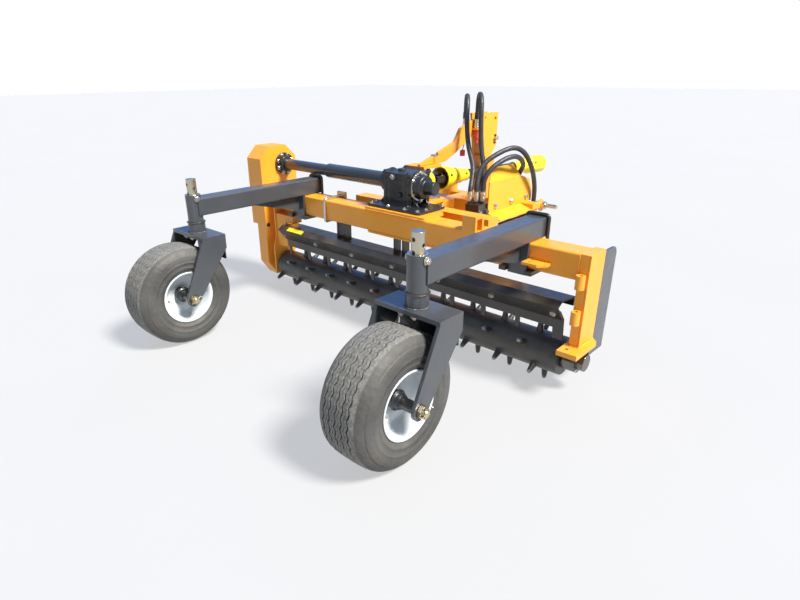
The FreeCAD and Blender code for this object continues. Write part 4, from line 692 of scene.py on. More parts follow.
bolt("case_flange_bolts", "main", ring_of((-936, SIDE_SHAFT_Y, SIDE_SHAFT_Z), 49, 8, 22.5), 10, seed=3)
FOOT_TOP = 591
bolt("gearbox_foot_bolts", "main",
     [(x, 8, FOOT_TOP, UP) for x in (-155, -51, 49, 125)]
     + [(x, y, FOOT_TOP, UP) for x in (-168, 132) for y in (58, 172)], 9.5, stud=3, seed=5)
bolt("side_cover_bolts", "main", ring_of((51, INPUT_Y, INPUT_Z), 61.5, 6, 30), 9, seed=8)
bolt("gearbox_face_bolt", "main", [(-62, 50, 721, REAR)], 12, seed=2)
print("gearbox and chain case bolted")

# %% Bolts on the barrier, the guard and the clamps
BARRIER_BOLT_PITCH, CLAMP_THREAD = 270.0, 16.2
LIP_FACING = (0, -0.768, -0.640)
bolt("barrier_strip_bolts", "main",
     [(-788 + BARRIER_BOLT_PITCH * n, -46.5, 329, LIP_FACING) for n in range(7)], 11, seed=11)
bolt("cylinder_guard_bolts", "hitch",
     [(206, y, 549, RIGHT) for y in (511, 657, 801)], 13, seed=12)
bolt("clamp_nuts", "main",
     [(x + off, 94.5, 450, DOWN) for side, x in CASTERS for off in (-47.5, 47.5)],
     CLAMP_THREAD, stud=4, seed=13, flat=0.9)
bolt("beam_clamp_nuts", "main", [(-455, 99, z, FRONT) for z in (458.7, 574.3)],
     CLAMP_THREAD, stud=4, seed=14, flat=0.85)
bolt("stem_set_bolts", "main",
     [(x + 34.3 * way, STEM_Y, 645, (way, 0, 0)) for side, x in CASTERS for way in (-1, 1)],
     12, seed=15, flat=0.68, stands_for=("set_bolts_left", "set_bolts_right"))
bolt("bearing_cap_bolts", "main", ring_of((922, ROLLER_Y, ROLLER_Z), 41, 4, 45), 6, seed=16)
for (side, x), seed in zip(reversed(CASTERS), (17, 18)):
    outward = math.copysign(26, x)
    bolt("fork_plate_bolts_" + side, "caster_" + side,
         [(x + off, y, 478, DOWN) for y in (-672, -585) for off in (outward, -outward)],
         11, stud=5, seed=seed)
print("barrier, guard and clamps bolted")

# %% [markdown]
# ## Tree: roller teeth
# Each tooth is a round peg of steel, wider at its root, welded on end to the drum. The tip wears to
# a blunt round nose. The tree makes one tooth out of two cones and a ball, and stands a copy on each
# point, looking out from the drum. A tooth has only about 150 faces, because there are many.

# %% Tree: roller teeth
pegs, p_in, p_out = new_group(
    "roller_teeth", "GeometryNodeTree",
    (("Places", GEOMETRY, None), ("Root Radius", FLOAT, 0.015), ("Tip Radius", FLOAT, 0.009),
     ("Length", FLOAT, 0.055), ("Weld Radius", FLOAT, 0.019), ("Finish", MATERIAL, None)),
    (("Teeth", GEOMETRY),))
tip_r = p_in.outputs["Tip Radius"]
peg_length = maths(pegs, "SUBTRACT", p_in.outputs["Length"], tip_r)
ball = add(pegs, "GeometryNodeMeshUVSphere", {"Segments": 14, "Rings": 8, "Radius": tip_r})
nose = add(pegs, "GeometryNodeTransform", {
    "Geometry": ball.outputs[0],
    "Translation": joined_up(pegs, 0.0, 0.0, peg_length)}).outputs[0]
peg = add(pegs, "GeometryNodeJoinGeometry")
for solid in (drum(pegs, 14, p_in.outputs["Root Radius"], tip_r, peg_length, 0.0), nose,
              drum(pegs, 14, p_in.outputs["Weld Radius"], p_in.outputs["Root Radius"], 0.0075, 0.0)):
    pegs.links.new(solid, peg.inputs[0])
stood = add(pegs, "GeometryNodeInstanceOnPoints", {
    "Points": p_in.outputs["Places"], "Instance": peg.outputs[0],
    "Rotation": facing_axis(pegs)}).outputs[0]
end_tree(pegs, stood, p_in.outputs["Finish"], p_out)
print("tree:", pegs.name)

# %% [markdown]
# ## Worn tooth steel
# Paint stays round the root of a tooth and rubs off its nose within hours of work. The roller turns
# about a line along X, so the distance from that line tells how near a point is to a nose. The finish
# starts as black enamel and fades to bright scratched steel there.

# %% Worn teeth
ROOT_R = 73.0


def far_from_line(tree, y, z):
    """A point's distance from a line along X, in metres."""
    place = split(tree, own_place(tree))
    side = maths(tree, "SUBTRACT", place[1], y)
    rise = maths(tree, "SUBTRACT", place[2], z)
    return maths(tree, "SQRT", maths(tree, "ADD", maths(tree, "MULTIPLY", side, side),
                                     maths(tree, "MULTIPLY", rise, rise)))


def bare_metal(material, mask, colour, rough):
    """Shows bare metal where the mask is 1, over the finish's own colour."""
    tree = material.node_tree
    shader = tree.nodes["Principled BSDF"]
    for label, value in (("Base Color", colour), ("Roughness", rough)):
        before = shader.inputs[label].links[0].from_socket
        if label == "Base Color":
            after = mix_colour(tree, mask, before, value)
        else:
            after = add(tree, "ShaderNodeMix", {0: mask, 2: before, 3: value}).outputs[0]
        tree.links.new(after, shader.inputs[label])
    metal = shader.inputs["Metallic"].default_value
    both = add(tree, "ShaderNodeMix", {0: mask, 2: metal, 3: 1.0}).outputs[0]
    tree.links.new(both, shader.inputs["Metallic"])


FINISHES["worn_teeth"] = FINISHES["black_paint"].copy()
tooth_tree = FINISHES["worn_teeth"].node_tree
roller_line = mm(0, ROLLER_Y, ROLLER_Z)
reach = far_from_line(tooth_tree, roller_line.y, roller_line.z)
where = own_place(tooth_tree)
ragged = maths(tooth_tree, "MULTIPLY", maths(
    tooth_tree, "SUBTRACT", noise(tooth_tree, where, 90.0, 4.0), 0.5), 0.05)
nose_wear = remap(tooth_tree, maths(tooth_tree, "ADD", reach, ragged), 0.112, 0.126)
bare_metal(FINISHES["worn_teeth"], nose_wear, (0.34, 0.33, 0.31), 0.36)

TOOTH_ROWS = ((270, 0), (210, -17), (150, -75), (90, -40), (30, -60), (330, -30))
tooth_points, tooth_axes = [], []
for degrees, offset in TOOTH_ROWS:
    out = (math.cos(math.radians(degrees)), math.sin(math.radians(degrees)))
    for step in range(11):
        x = -833 + 162 * step + offset
        if -860 <= x <= 842:
            tooth_points.append(tuple(mm(x, ROLLER_Y + out[0] * ROOT_R, ROLLER_Z + out[1] * ROOT_R)))
            tooth_axes += [0.0, *out]
teeth = grow("roller_teeth_worn", pegs, tooth_points, {
    "Root Radius": 0.015, "Tip Radius": 0.0092, "Length": 0.0545, "Weld Radius": 0.0195,
    "Finish": FINISHES["worn_teeth"]}, (("axis", "FLOAT_VECTOR", "vector", tooth_axes),))
dress(teeth, "roller", "black_paint", ("roller_teeth",))
print(len(tooth_points), "teeth")

# %% [markdown]
# ## Building blocks for solid pieces
# Castings and fabricated parts are joined from simple solids. These helpers add a rounded block, a
# round bar or a plate of any outline to one mesh in the making, all in the drawing's millimetres.

# %% Helpers: solids
def block(shape, low, high, corner=0.0, upright=False, steps=3):
    """A block whose edges, or only upright edges, are rounded."""
    made = bmesh.ops.create_cube(shape, size=1.0)["verts"]
    middle = [(a + b) / 2 for a, b in zip(low, high)]
    span = [b - a for a, b in zip(low, high)]
    for vert in made:
        vert.co = mm(*(m + c * s for m, c, s in zip(middle, vert.co, span)))
    if corner:
        edges = {e for vert in made for e in vert.link_edges}
        if upright:
            edges = [e for e in edges if abs(e.verts[0].co.z - e.verts[1].co.z) > 1e-5]
        bmesh.ops.bevel(shape, geom=list(edges), offset=corner / 1000, segments=steps,
                        affect="EDGES", profile=0.5)


def bar(shape, start, end, radius, end_radius=None, sides=24):
    """A round, or few-sided, bar between two places; it may taper."""
    a, b = mm(*start), mm(*end)
    way = (b - a).to_track_quat("Z", "Y").to_matrix().to_4x4()
    way.translation = (a + b) / 2
    bmesh.ops.create_cone(
        shape, cap_ends=True, segments=sides, radius1=radius / 1000,
        radius2=(radius if end_radius is None else end_radius) / 1000,
        depth=(b - a).length, matrix=way)


def plate(shape, outline, depth):
    """A flat plate: its outline is a list of places, and depth its thickness as a vector."""
    low = [shape.verts.new(mm(*p)) for p in outline]
    high = [shape.verts.new(mm(*(a + b for a, b in zip(p, depth)))) for p in outline]
    shape.faces.new(low)
    shape.faces.new(list(reversed(high)))
    count = len(low)
    for n in range(count):
        shape.faces.new((low[n - 1], high[n - 1], high[n], low[n]))


def made_of(name, shape, finish, bevel=0.0):
    """Turns the mesh in the making into a piece; a bevel takes the sharpness off its edges."""
    mesh = bpy.data.meshes.new(name)
    shape.to_mesh(mesh)
    shape.free()
    tidy_mesh(mesh)
    mesh.materials.append(FINISHES[finish])
    piece = bpy.data.objects.new(name, mesh)
    scene.collection.objects.link(piece)
    if bevel:
        edge = piece.modifiers.new("edge", "BEVEL")
        edge.width = bevel / 1000
        edge.segments = 2
        edge.limit_method = "ANGLE"
    return piece


def built_on(body, name, shape, finish, slot=None, stands_for=(), bevel=0.0):
    """A piece made of solids, put on its body."""
    return dress(made_of(name, shape, finish, bevel=bevel), body, slot or finish, stands_for)


print("solid helpers ready")

# %% [markdown]
# ## The gearbox casting
# The gearbox turns the tractor's drive sideways. Its case is sand-cast iron: every inside corner has
# a fillet, walls carry ribs, and a rounded lid with ears is bolted on top. Modelled solids give only
# sharp corners, so the blocks are first joined by a voxel remesh, which melts them into one skin, and
# then smoothed, which leaves the fillets and soft edges that a mould gives.

# %% Gearbox casting
COVER_AT = (35, INPUT_Y, INPUT_Z)
casting = bmesh.new()
block(casting, (-121, 52, 588), (33, 206, 728), 14, upright=True)
block(casting, (-183, -6, 579), (146, 188, 591.5), 16, upright=True)
block(casting, (-126, 47, 727), (38, 211, 738), 20, upright=True)
for x in (-114, -88, 2, 26):
    block(casting, (x - 3, 50.4, 592), (x + 3, 60, 728))
for z in (618, 704):
    block(casting, (-122, 50.6, z - 3), (34, 60, z + 3))
for y in (62, 196):
    block(casting, (28, y - 4, 592), (38, y + 4, 728))
    block(casting, (-127, y - 4, 592), (-116, y + 4, 728))
for x, y in ((-114, 58), (26, 58), (26, 200), (-114, 200)):
    bar(casting, (x, y, 727), (x, y, 740.5), 13.5)
bar(casting, (-58, 110, 736), (-58, 110, 742), 22)
bar(casting, (-46, 200, 672), (-46, 222, 672), 56, sides=40)
bar(casting, (30, INPUT_Y, INPUT_Z), (37, INPUT_Y, INPUT_Z), 68, sides=48)
bar(casting, (-123, SIDE_SHAFT_Y, SIDE_SHAFT_Z), (-116, SIDE_SHAFT_Y, SIDE_SHAFT_Z), 62, sides=40)
for x, side in ((-121, -1), (33, 1)):
    for y in (74, 150):
        plate(casting, [(x, y, 591), (x + side * 44, y, 591), (x, y, 640)], (0, 8, 0))
gearbox = made_of("gearbox_casting", casting, "black_casting")
melt = gearbox.modifiers.new("melt", "REMESH")
melt.mode = "VOXEL"
melt.voxel_size = 0.0024
soften = gearbox.modifiers.new("soften", "SMOOTH")
soften.factor = 0.5
soften.iterations = 3
settled(gearbox)
gearbox.data.shade_smooth()
dress(gearbox, "main", "black_casting", ("gearbox",))
print("casting:", len(gearbox.data.polygons), "faces")

# %% Gearbox covers and plugs
turned_on("main", "gearbox_round_cover", [
    (-2, 0), (-2, 69), (13, 69), (15.4, 68), (16, 66.5), (16, 56), (18, 54.6), (44, 53),
    (47.5, 51.5), (49.5, 48), (50, 44), (50, 36), (52, 33), (55, 31), (62, 30.2), (101, 30),
    (103.4, 28.6), (104, 26), (104, 0)], COVER_AT, "black_casting",
    stands_for=("gearbox_side_cover",), segments=72, sharp=50.0)
# A plated ring round the cover's edge: partly the cover's light metal rim, partly a painted highlight
# along it.
turned_on("main", "round_cover_rim", [
    (15.2, 66.4), (16.9, 65.6), (17.6, 62.5), (17.2, 57.5), (15.8, 57), (15.2, 66.4)],
    COVER_AT, "zinc", segments=72)
turned_on("main", "gearbox_filler_plug", [
    (0, 0), (0, 16), (1.5, 16.6), (7.5, 16.6), (9, 15.6), (9, 0)],
    (-58, 110, 741), "black_plastic", along=ALONG_Z, segments=40)
bolt("gearbox_lid_bolts", "main",
     [(x, y, 740, UP) for x in (-114, 26) for y in (58, 200)], 9, finish="black_casting", seed=21)
bolt("gearbox_level_plug", "main", [(-20, 49, 640, REAR)], 11, finish="black_casting", seed=22)
print("gearbox covered")

# %% [markdown]
# ## Wheel axles
# A castle nut is a nut with slots across its top. A split pin goes through a slot and a hole in the
# bolt, so that the nut can't turn off. Nut and bolt have a yellow passivated coat, the washer under
# them is black, and plain black tubes keep the hub in the middle of the fork.

# %% Axles with castle nuts
FINISHES["yellow_zinc"] = finish_of(
    "yellow_passivated_zinc", (0.66, 0.56, 0.34), (0.56, 0.51, 0.40), (0.78, 0.75, 0.66),
    0.32, metal=1.0, edge_wear_and_highlight=0.5, dusty=0.15, edge=0.0008, grain=(600.0, 0.2), spread=40.0)
LEG_OUT, LEG_IN, HUB_HALF = 132.5, 120.5, 70.5


def axle_bar(shape, x, start, end, radius, end_radius=None, sides=24):
    """A bar on an axle's line, from one distance beside the wheel's middle to another."""
    bar(shape, (x + start, AXLE_Y, AXLE_Z), (x + end, AXLE_Y, AXLE_Z), radius, end_radius, sides)


for side, x in CASTERS:
    nut = bmesh.new()
    axle_bar(nut, x, -138, 156, 12)
    axle_bar(nut, x, 156, 158.5, 12, 10)
    axle_bar(nut, x, -146, -LEG_OUT, 19, sides=6)
    axle_bar(nut, x, LEG_OUT + 3, LEG_OUT + 13, 20.5, sides=6)
    for step in range(6):
        a = math.radians(60 * step + 30)
        u, v = math.cos(a), math.sin(a)
        crown = [(x + LEG_OUT + 13, AXLE_Y + out * u - wide * v, AXLE_Z + out * v + wide * u)
                 for out, wide in ((12.6, 4.6), (12.6, -4.6), (17.4, -6.2), (17.4, 6.2))]
        plate(nut, crown, (8, 0, 0))
    split_pin = [(x + LEG_OUT + 17 + dx, AXLE_Y + dy, AXLE_Z + dz)
                 for dx, dy, dz in ((9, -27, -10), (0, -21, -12), (0, 24, 14), (6, 29, 10))]
    bar(nut, split_pin[1], split_pin[2], 1.9, sides=10)
    bar(nut, split_pin[1], split_pin[0], 1.7, sides=10)
    bar(nut, split_pin[2], split_pin[3], 2.6, sides=10)
    built_on("caster_" + side, "axle_bolt_" + side, nut, "yellow_zinc", "zinc",
             ("caster_axle_" + side,))
    tubes = bmesh.new()
    axle_bar(tubes, x, LEG_OUT, LEG_OUT + 3, 23, sides=32)
    axle_bar(tubes, x, -LEG_IN, -HUB_HALF, 19.5, sides=32)
    axle_bar(tubes, x, HUB_HALF, LEG_IN, 19.5, sides=32)
    built_on("caster_" + side, "axle_spacers_" + side, tubes, "black_paint", bevel=0.8)
    valve = bmesh.new()
    valve_run = [(x + dx, AXLE_Y + dy, AXLE_Z - 3) for dx, dy in ((60, -86), (72, -89), (78, -90))]
    bar(valve, valve_run[0], valve_run[1], 3.6, sides=14)
    bar(valve, valve_run[1], valve_run[2], 4.4, 3.8, sides=14)
    built_on("wheel_" + side, "tyre_valve_" + side, valve, "yellow_zinc", "zinc")
print("axles fitted")

# %% [markdown]
# ## Bare stems above the painted forks
# The caster's stem is a plated steel pin that turns in its sleeve, so it isn't painted. It belongs to
# the fork, and only the stem reaches up into the sleeve, so height alone tells them apart. The single
# clamp on the beam between the arms is plated while the arms' own are black, and there the place
# along the beam decides.

# %% Stems and clamps
def above(tree, axis, level, soft=0.002):
    """1 where a point lies beyond a level along an axis, in metres."""
    return remap(tree, split(tree, own_place(tree))[axis], level - soft, level + soft)


IN_SLEEVE = 0.600
fork_finish = FINISHES["dark_grey_paint"].copy()
fork_finish.name = "anthracite_fork_and_plated_stem"
bare_metal(fork_finish, above(fork_finish.node_tree, 2, IN_SLEEVE), (0.50, 0.46, 0.35), 0.34)
for side, x in CASTERS:
    nodes["caster_fork_" + side].material_slots[0].material = fork_finish
clamp_finish = FINISHES["black_paint"].copy()
clamp_finish.name = "black_and_plated_clamps"
clamp_tree = clamp_finish.node_tree
between = maths(clamp_tree, "SUBTRACT", above(clamp_tree, 0, mm(-560, 0, 0).x),
                above(clamp_tree, 0, mm(-300, 0, 0).x))
bare_metal(clamp_finish, between, (0.66, 0.64, 0.60), 0.32)
nodes["arm_clamps"].material_slots[0].material = clamp_finish
print("stems and clamps finished")

# %% [markdown]
# ## Hose ends and quick couplings
# A hose ends in a steel ferrule that is crimped over it in rings, and a hexagon nut that screws onto
# the union. The supply hoses end in plugs for the tractor's couplings, each with a red sleeve that
# shows the circuit, and are parked in the brace's ears when the tractor is away.

# %% Hose ends
FINISHES["red_plastic"] = finish_of(
    "red_plastic", (0.62, 0.055, 0.030), (0.55, 0.045, 0.024), (0.75, 0.25, 0.18),
    0.40, edge_wear_and_highlight=0.2, dusty=0.15, grain=(400.0, 0.2), ior=1.46)
FERRULE = [(0, 9), (0, 13.6), (2, 14.6), (5, 14.6), (6, 13.4), (9, 13.4), (10, 14.6), (14, 14.6),
           (15, 13.4), (18, 13.4), (19, 14.6), (23, 14.6), (24, 13.6), (29, 13.6), (30, 14.4),
           (32, 14.4), (33, 13.2), (33, 11), (0, 9)]
UNION_NUT = [(0, 0), (0, 14.6), (1.5, 15.6), (13, 15.6), (14.5, 14.6), (14.5, 0)]
COUPLER = [(0, 0), (0, 7.4), (1, 8.4), (20, 8.4), (22, 10.5), (30, 11.8), (66, 11.8), (66, 0)]
COUPLER_TOP = [(0, 0), (0, 15), (1.5, 16), (8, 16), (9, 14.6), (20, 14.6), (21, 13.4), (47, 13.4),
               (47, 0)]
BLOCK_TOP, COUPLER_Y = 580, 645
hose_ends = {}
for name, route in HOSE_ROUTES.items():
    x, y, hose_start = route[0]
    hose_ends[name] = [
        turned_on("hitch", name + "_ferrule", FERRULE, (x, y, hose_start), "zinc", along=ALONG_Z,
                  segments=28),
        turned_on("hitch", name + "_nut", UNION_NUT, (x, y, BLOCK_TOP), "zinc", along=ALONG_Z,
                  segments=6)]
for side, x in (("right", -20), ("left", -92)):
    hose_ends["hose_supply_" + side] += [
        turned_on("hitch", "coupler_sleeve_" + side, COUPLER, (x, COUPLER_Y, 818), "red_plastic",
                  "yellow_plastic", along=ALONG_Z, segments=36),
        turned_on("hitch", "coupler_body_" + side, COUPLER_TOP, (x, COUPLER_Y, 892.6), "zinc",
                  stands_for=("hose_coupler_" + side,), along=ALONG_Z, segments=36),
        turned_on("hitch", "coupler_ferrule_" + side, FERRULE, (x, COUPLER_Y, 936), "black_plastic",
                  along=ALONG_Z, segments=28)]
print("hose ends fitted")

# %% [markdown]
# ## Small things on the mast
# A dust cap of red rubber hangs on its strap under the parked couplings, and a spring clip with a
# round ring keeps the top link's pin in the mast.

# %% Dust cap and ring clip
turned_on("hitch", "dust_cap", [(0, 0), (0, 11), (2, 13.4), (26, 13.4), (29, 12.4), (31, 8), (31, 0)],
          (-98, 640, 748), "red_plastic", "yellow_plastic", along=ALONG_Z, segments=32)
strap_run = ((-98, 640, 778), (-96, 641, 792), (-93, 643, 806), (-92, 645, 820))
strap = bmesh.new()
for low, high in zip(strap_run, strap_run[1:]):
    bar(strap, low, high, 2.2, sides=10)
built_on("hitch", "dust_cap_strap", strap, "red_plastic", "yellow_plastic")
RING_R, WIRE_R = 17.0, 1.7
ring_profile = [(WIRE_R * math.sin(a), RING_R + WIRE_R * math.cos(a))
                for a in (2 * math.pi * n / 10 for n in range(10))]
turned_on("hitch", "linch_pin_ring", ring_profile + ring_profile[:1], (-4, 808, 826), "zinc",
          segments=40)
pin = bmesh.new()
bar(pin, (-6, 801, 806), (-6, 801, 846), 4.2, sides=16)
bar(pin, (-6, 801, 843), (-6, 801, 852), 6.5, sides=16)
built_on("hitch", "linch_pin", pin, "dark_steel", bevel=0.6)
print("mast fittings done")

# %% [markdown]
# ## Drive shaft guards
# The yellow guards are blown or moulded plastic bells with stiffening rings, a rolled mouth and a
# wall of a few millimetres; they stay still while the shaft turns inside. Their axis droops slightly
# towards the tractor, so the profile is turned about a tilted line.

# %% Drive shaft guards
DROOP = math.radians(2.2)
SHAFT_START = (-46, 335, 672)
ALONG_SHAFT = (0.0, DROOP, math.pi / 2)
REAR_BELL = [(52, 51), (51, 52.5), (52, 56.6), (56, 57.4), (60, 56.6), (62, 54.8), (88, 54.6),
             (92, 56), (96, 56), (99, 53.4), (130, 48), (134, 48.8), (138, 48.4), (140, 46.2),
             (170, 41), (174, 41.8), (178, 41.2), (180, 39.2), (200, 36), (204, 37.6), (212, 37.2),
             (216, 34.6), (252, 30.4), (256, 31.6), (262, 31.4), (263, 29), (262, 25.4),
             (200, 31.8), (92, 50.6), (52, 51)]
FRONT_BELL = [(738, 25.4), (738, 30.4), (744, 31), (752, 31), (756, 29.2), (866, 29.4), (872, 31),
              (882, 38), (890, 44), (898, 48), (902, 50), (908, 50), (912, 48.8), (970, 50),
              (974, 51.6), (980, 51.6), (984, 50.2), (1038, 51.8), (1042, 52), (1048, 52),
              (1049.5, 51.6), (1049, 48), (900, 44), (870, 25.4), (738, 25.4)]
for name, profile in (("rear", REAR_BELL), ("front", FRONT_BELL)):
    turned_on("hitch", "shaft_guard_" + name, profile, SHAFT_START, "yellow_plastic",
              stands_for=("pto_guard_" + name,), along=ALONG_SHAFT, segments=72, sharp=30.0)


def along_shaft(distance, radius, degrees):
    """A place on the drive shaft's guard, in mm, and the way out from its axis."""
    a = math.radians(degrees)
    out = (math.cos(a), math.sin(a) * math.sin(DROOP), math.sin(a) * math.cos(DROOP))
    x, y, z = SHAFT_START
    base = (x, y + distance * math.cos(DROOP), z - distance * math.sin(DROOP))
    return (*(b + radius * o for b, o in zip(base, out)), out)


bolt("guard_screws", "hitch",
     [along_shaft(d, r, a) for d, r in ((76, 54.4), (234, 32), (700, 25), (925, 48.8))
      for a in (20, 140, 260)], 6, finish="black_plastic", seed=31)
print("guards turned")

# %% [markdown]
# ## Tree: weld beads
# The frame is put together by arc welding. A welder's bead is a row of small overlapping scales,
# each one a puddle of steel that froze while the next was laid. The tree takes lines, sets points
# along them a fixed step apart and puts a flattened ball on each one, turned to follow its line.
# Size varies a little from scale to scale, from a fixed seed, as it does by hand.

# %% Tree: weld beads
welding, w_in, w_out = new_group(
    "weld_beads", "GeometryNodeTree",
    (("Lines", GEOMETRY, None), ("Bead Radius", FLOAT, 0.004), ("Step", FLOAT, 0.0045),
     ("Seed", INTEGER, 1), ("Finish", MATERIAL, None)),
    (("Beads", GEOMETRY),))
seam = add(welding, "GeometryNodeMeshToCurve", {"Mesh": w_in.outputs["Lines"]}).outputs[0]
spots = add(welding, "GeometryNodeCurveToPoints", {"Curve": seam, "Length": w_in.outputs["Step"]},
            mode="LENGTH")
scale_ball = add(welding, "GeometryNodeMeshUVSphere", {
    "Segments": 8, "Rings": 5, "Radius": w_in.outputs["Bead Radius"]}).outputs[0]
leaning = add(welding, "FunctionNodeAlignRotationToVector", {
    "Vector": spots.outputs["Tangent"]}, axis="Z")
swelling = add(welding, "FunctionNodeRandomValue", {
    "Min": 0.86, "Max": 1.14, "Seed": w_in.outputs["Seed"]}).outputs[1]
swollen = joined_up(welding, swelling, swelling, maths(welding, "MULTIPLY", swelling, 0.85))
scales = add(welding, "GeometryNodeInstanceOnPoints", {
    "Points": spots.outputs["Points"], "Instance": scale_ball, "Rotation": leaning.outputs[0],
    "Scale": swollen}).outputs[0]
end_tree(welding, scales, w_in.outputs["Finish"], w_out)


def weld(name, body, slot, lines, radius=3.6, seed=1):
    """Beads along lines of (x, y, z) places in mm, painted with the steel they join."""
    points, edges = [], []
    for line in lines:
        edges += [(len(points) + n, len(points) + n + 1) for n in range(len(line) - 1)]
        points += [tuple(mm(*place)) for place in line]
    piece = grow(name, welding, points, {
        "Bead Radius": radius / 1000, "Step": radius * 1.15 / 1000, "Seed": seed,
        "Finish": FINISHES[slot]}, edges=edges, sharp=80.0)
    print(name, len(piece.data.polygons), "faces")
    return dress(piece, body, slot)


def circle(x, y, z, radius, steps=32):
    """A level ring of places."""
    return [(x + radius * math.cos(2 * math.pi * n / steps),
             y + radius * math.sin(2 * math.pi * n / steps), z) for n in range(steps + 1)]


print("tree:", welding.name)

# %% [markdown]
# ## Welded joints
# Beads go where two plates meet and a hand with a torch can reach: round the stem sleeves and fork
# collars, where beam meets post, round the post's foot and along the hitch's bars.

# %% Welds
for side, x in CASTERS:
    weld("sleeve_welds_" + side, "main", "dark_grey_paint",
         [[(x - 26, -607.5, z), (x + 26, -607.5, z)] for z in (566, 648)]
         + [[(x + way * 34.5, -620, 570), (x + way * 34.5, -620, 644)] for way in (-1, 1)],
         3.4, seed=31)
    weld("collar_weld_" + side, "caster_" + side, "dark_grey_paint",
         [circle(x, STEM_Y, 493, 39)], 3.4, seed=32)
    weld("leg_welds_" + side, "caster_" + side, "dark_grey_paint",
         [[(x + way * 119, -680, 477), (x + way * 119, -569, 477)] for way in (-1, 1)], 3.6, seed=33)
FOOT_Z = 210
for name, body, lines, radius, seed in (
        ("post_welds", "main",
         [[(894, -21, 468), (894, -21, 565)], [(882, -21, FOOT_Z), (936, -21, FOOT_Z)]]
         + [[(x, -18, FOOT_Z), (x, 98, FOOT_Z)] for x in (893, 937)], 3.2, 34),
        ("lug_welds", "main",
         [[(915 + way * 9, -22, z), (915 + way * 9, -22, z + 44)]
          for way in (-1, 1) for z in (311, 449)], 2.8, 35),
        ("beam_bar_weld", "main",
         [[(-155, -21, 465), (585, -21, 465)], [(-165, -27, 568), (190, -27, 568)]], 3.0, 36),
        ("hitch_welds", "hitch",
         [[(-83, 281, 561), (-83, 281, 496)], [(-9, 281, 561), (-9, 281, 496)],
          [(-10, 469, 561), (162, 469, 561)], [(160, 531, 561), (-9, 531, 561)]], 3.2, 37),
        ("bridge_welds", "main",
         [[(-132, 214, 580), (-118, 214, 580)], [(-117, 216, 580), (-117, 288, 580)]], 3.0, 38)):
    weld(name, body, "orange_paint", lines, radius, seed)

# %% [markdown]
# ## Worn places
# Where rubber rolls on the ground it turns pale and keeps dust, while the grooves stay dark as painted
# shade. That paler top is a colour mixed over the rubber's by a mask, which is the distance from the
# axle. The roller rubs in soil, so its paint is dull and grey-brown, and the bearing housings are oily
# steel: both get finishes of their own.

# %% Worn tread with painted groove shade, rubbed drum
tread_tree = FINISHES["tyre_rubber"].node_tree
tread_shader = tread_tree.nodes["Principled BSDF"]
axle_line = mm(0, AXLE_Y, AXLE_Z)
# Pale rubbed rubber on the tread's top; the grooves keep the dark rubber as painted shade in them.
rubbed_top_and_groove_shade = remap(tread_tree, far_from_line(tread_tree, axle_line.y, axle_line.z), 0.2195, 0.2230)
where = own_place(tread_tree)
speckled = remap(tread_tree, noise(tread_tree, where, 130.0, 6.0), 0.36, 0.62, 0.30, 0.95)
tread_tree.links.new(mix_colour(
    tread_tree, maths(tread_tree, "MULTIPLY", rubbed_top_and_groove_shade, speckled),
    tread_shader.inputs["Base Color"].links[0].from_socket, (0.20, 0.195, 0.175)),
    tread_shader.inputs["Base Color"])
FINISHES["rubbed_drum"] = finish_of(
    "soil_rubbed_drum", (0.034, 0.032, 0.028), (0.072, 0.067, 0.057), (0.26, 0.25, 0.23),
    0.40, coat=0.1, edge_wear_and_highlight=0.6, dusty=0.25, grain=(400.0, 0.4), wave=(30.0, 0.25))
FINISHES["oiled_steel"] = finish_of(
    "oiled_turned_steel", (0.20, 0.195, 0.18), (0.12, 0.115, 0.10), (0.5, 0.5, 0.48),
    0.24, metal=1.0, edge_wear_and_highlight=0.6, dusty=0.15, grain=(500.0, 0.15))
for name, finish in (("roller", "rubbed_drum"), ("roller_bearings", "oiled_steel")):
    for place in nodes[name].material_slots:
        place.material = FINISHES[finish]
print("wear painted")

# %% [markdown]
# ## Small pieces of the casters, the case and the barrier
# A thrust washer lies between the stem's sleeve and the fork's collar. The machined top of the sleeve
# is left bare. A black disc on the chain case is painted shade for an open hole there, and a pale
# plate on the barrier's top is a painted patch of sunlight. A black web closes each fork in front,
# held by three nuts; its black is painted shade between the fork's legs. Flush screws with black
# sockets hold the chain case's cover all round its edge.

# %% Washers, a painted shade disc and a painted sunlit patch
THRUST_WASHER = [(0, 33), (0, 40.5), (0.8, 41.5), (3.4, 41.5), (4, 40.5), (4, 33), (0, 33)]
SLEEVE_FACE = [(0, 22.6), (0.9, 23), (0.9, 33), (0, 33.6), (0, 22.6)]
for side, x in CASTERS:
    turned_on("caster_" + side, "thrust_washer_" + side, THRUST_WASHER, (x, STEM_Y, 536.6),
              "dark_steel", along=ALONG_Z, segments=56)
    turned_on("main", "sleeve_face_" + side, SLEEVE_FACE, (x, STEM_Y, 662), "zinc",
              along=ALONG_Z, segments=56)
# A black disc: painted shade for the open hole in the chain case.
turned_on("main", "case_hole_shade_disc", [
    (0, 0), (0, 12), (2, 12), (3, 10.6), (3, 7), (1.5, 6.4), (1.5, 0)],
    (-950, -33, 358), "black_plastic", segments=40)
# A pale plate on the barrier's top: a painted patch of sunlight falling there.
patch = bmesh.new()
plate(patch, [(-730, -73.4, 370.4), (-604, -73.4, 370.4), (-604, -51.6, 384.2), (-730, -51.6, 384.2)],
      (0, -0.6, 0.9))
built_on("main", "painted_sunlit_patch", patch, "yellow_plastic")
print("washers, plug and patch placed")

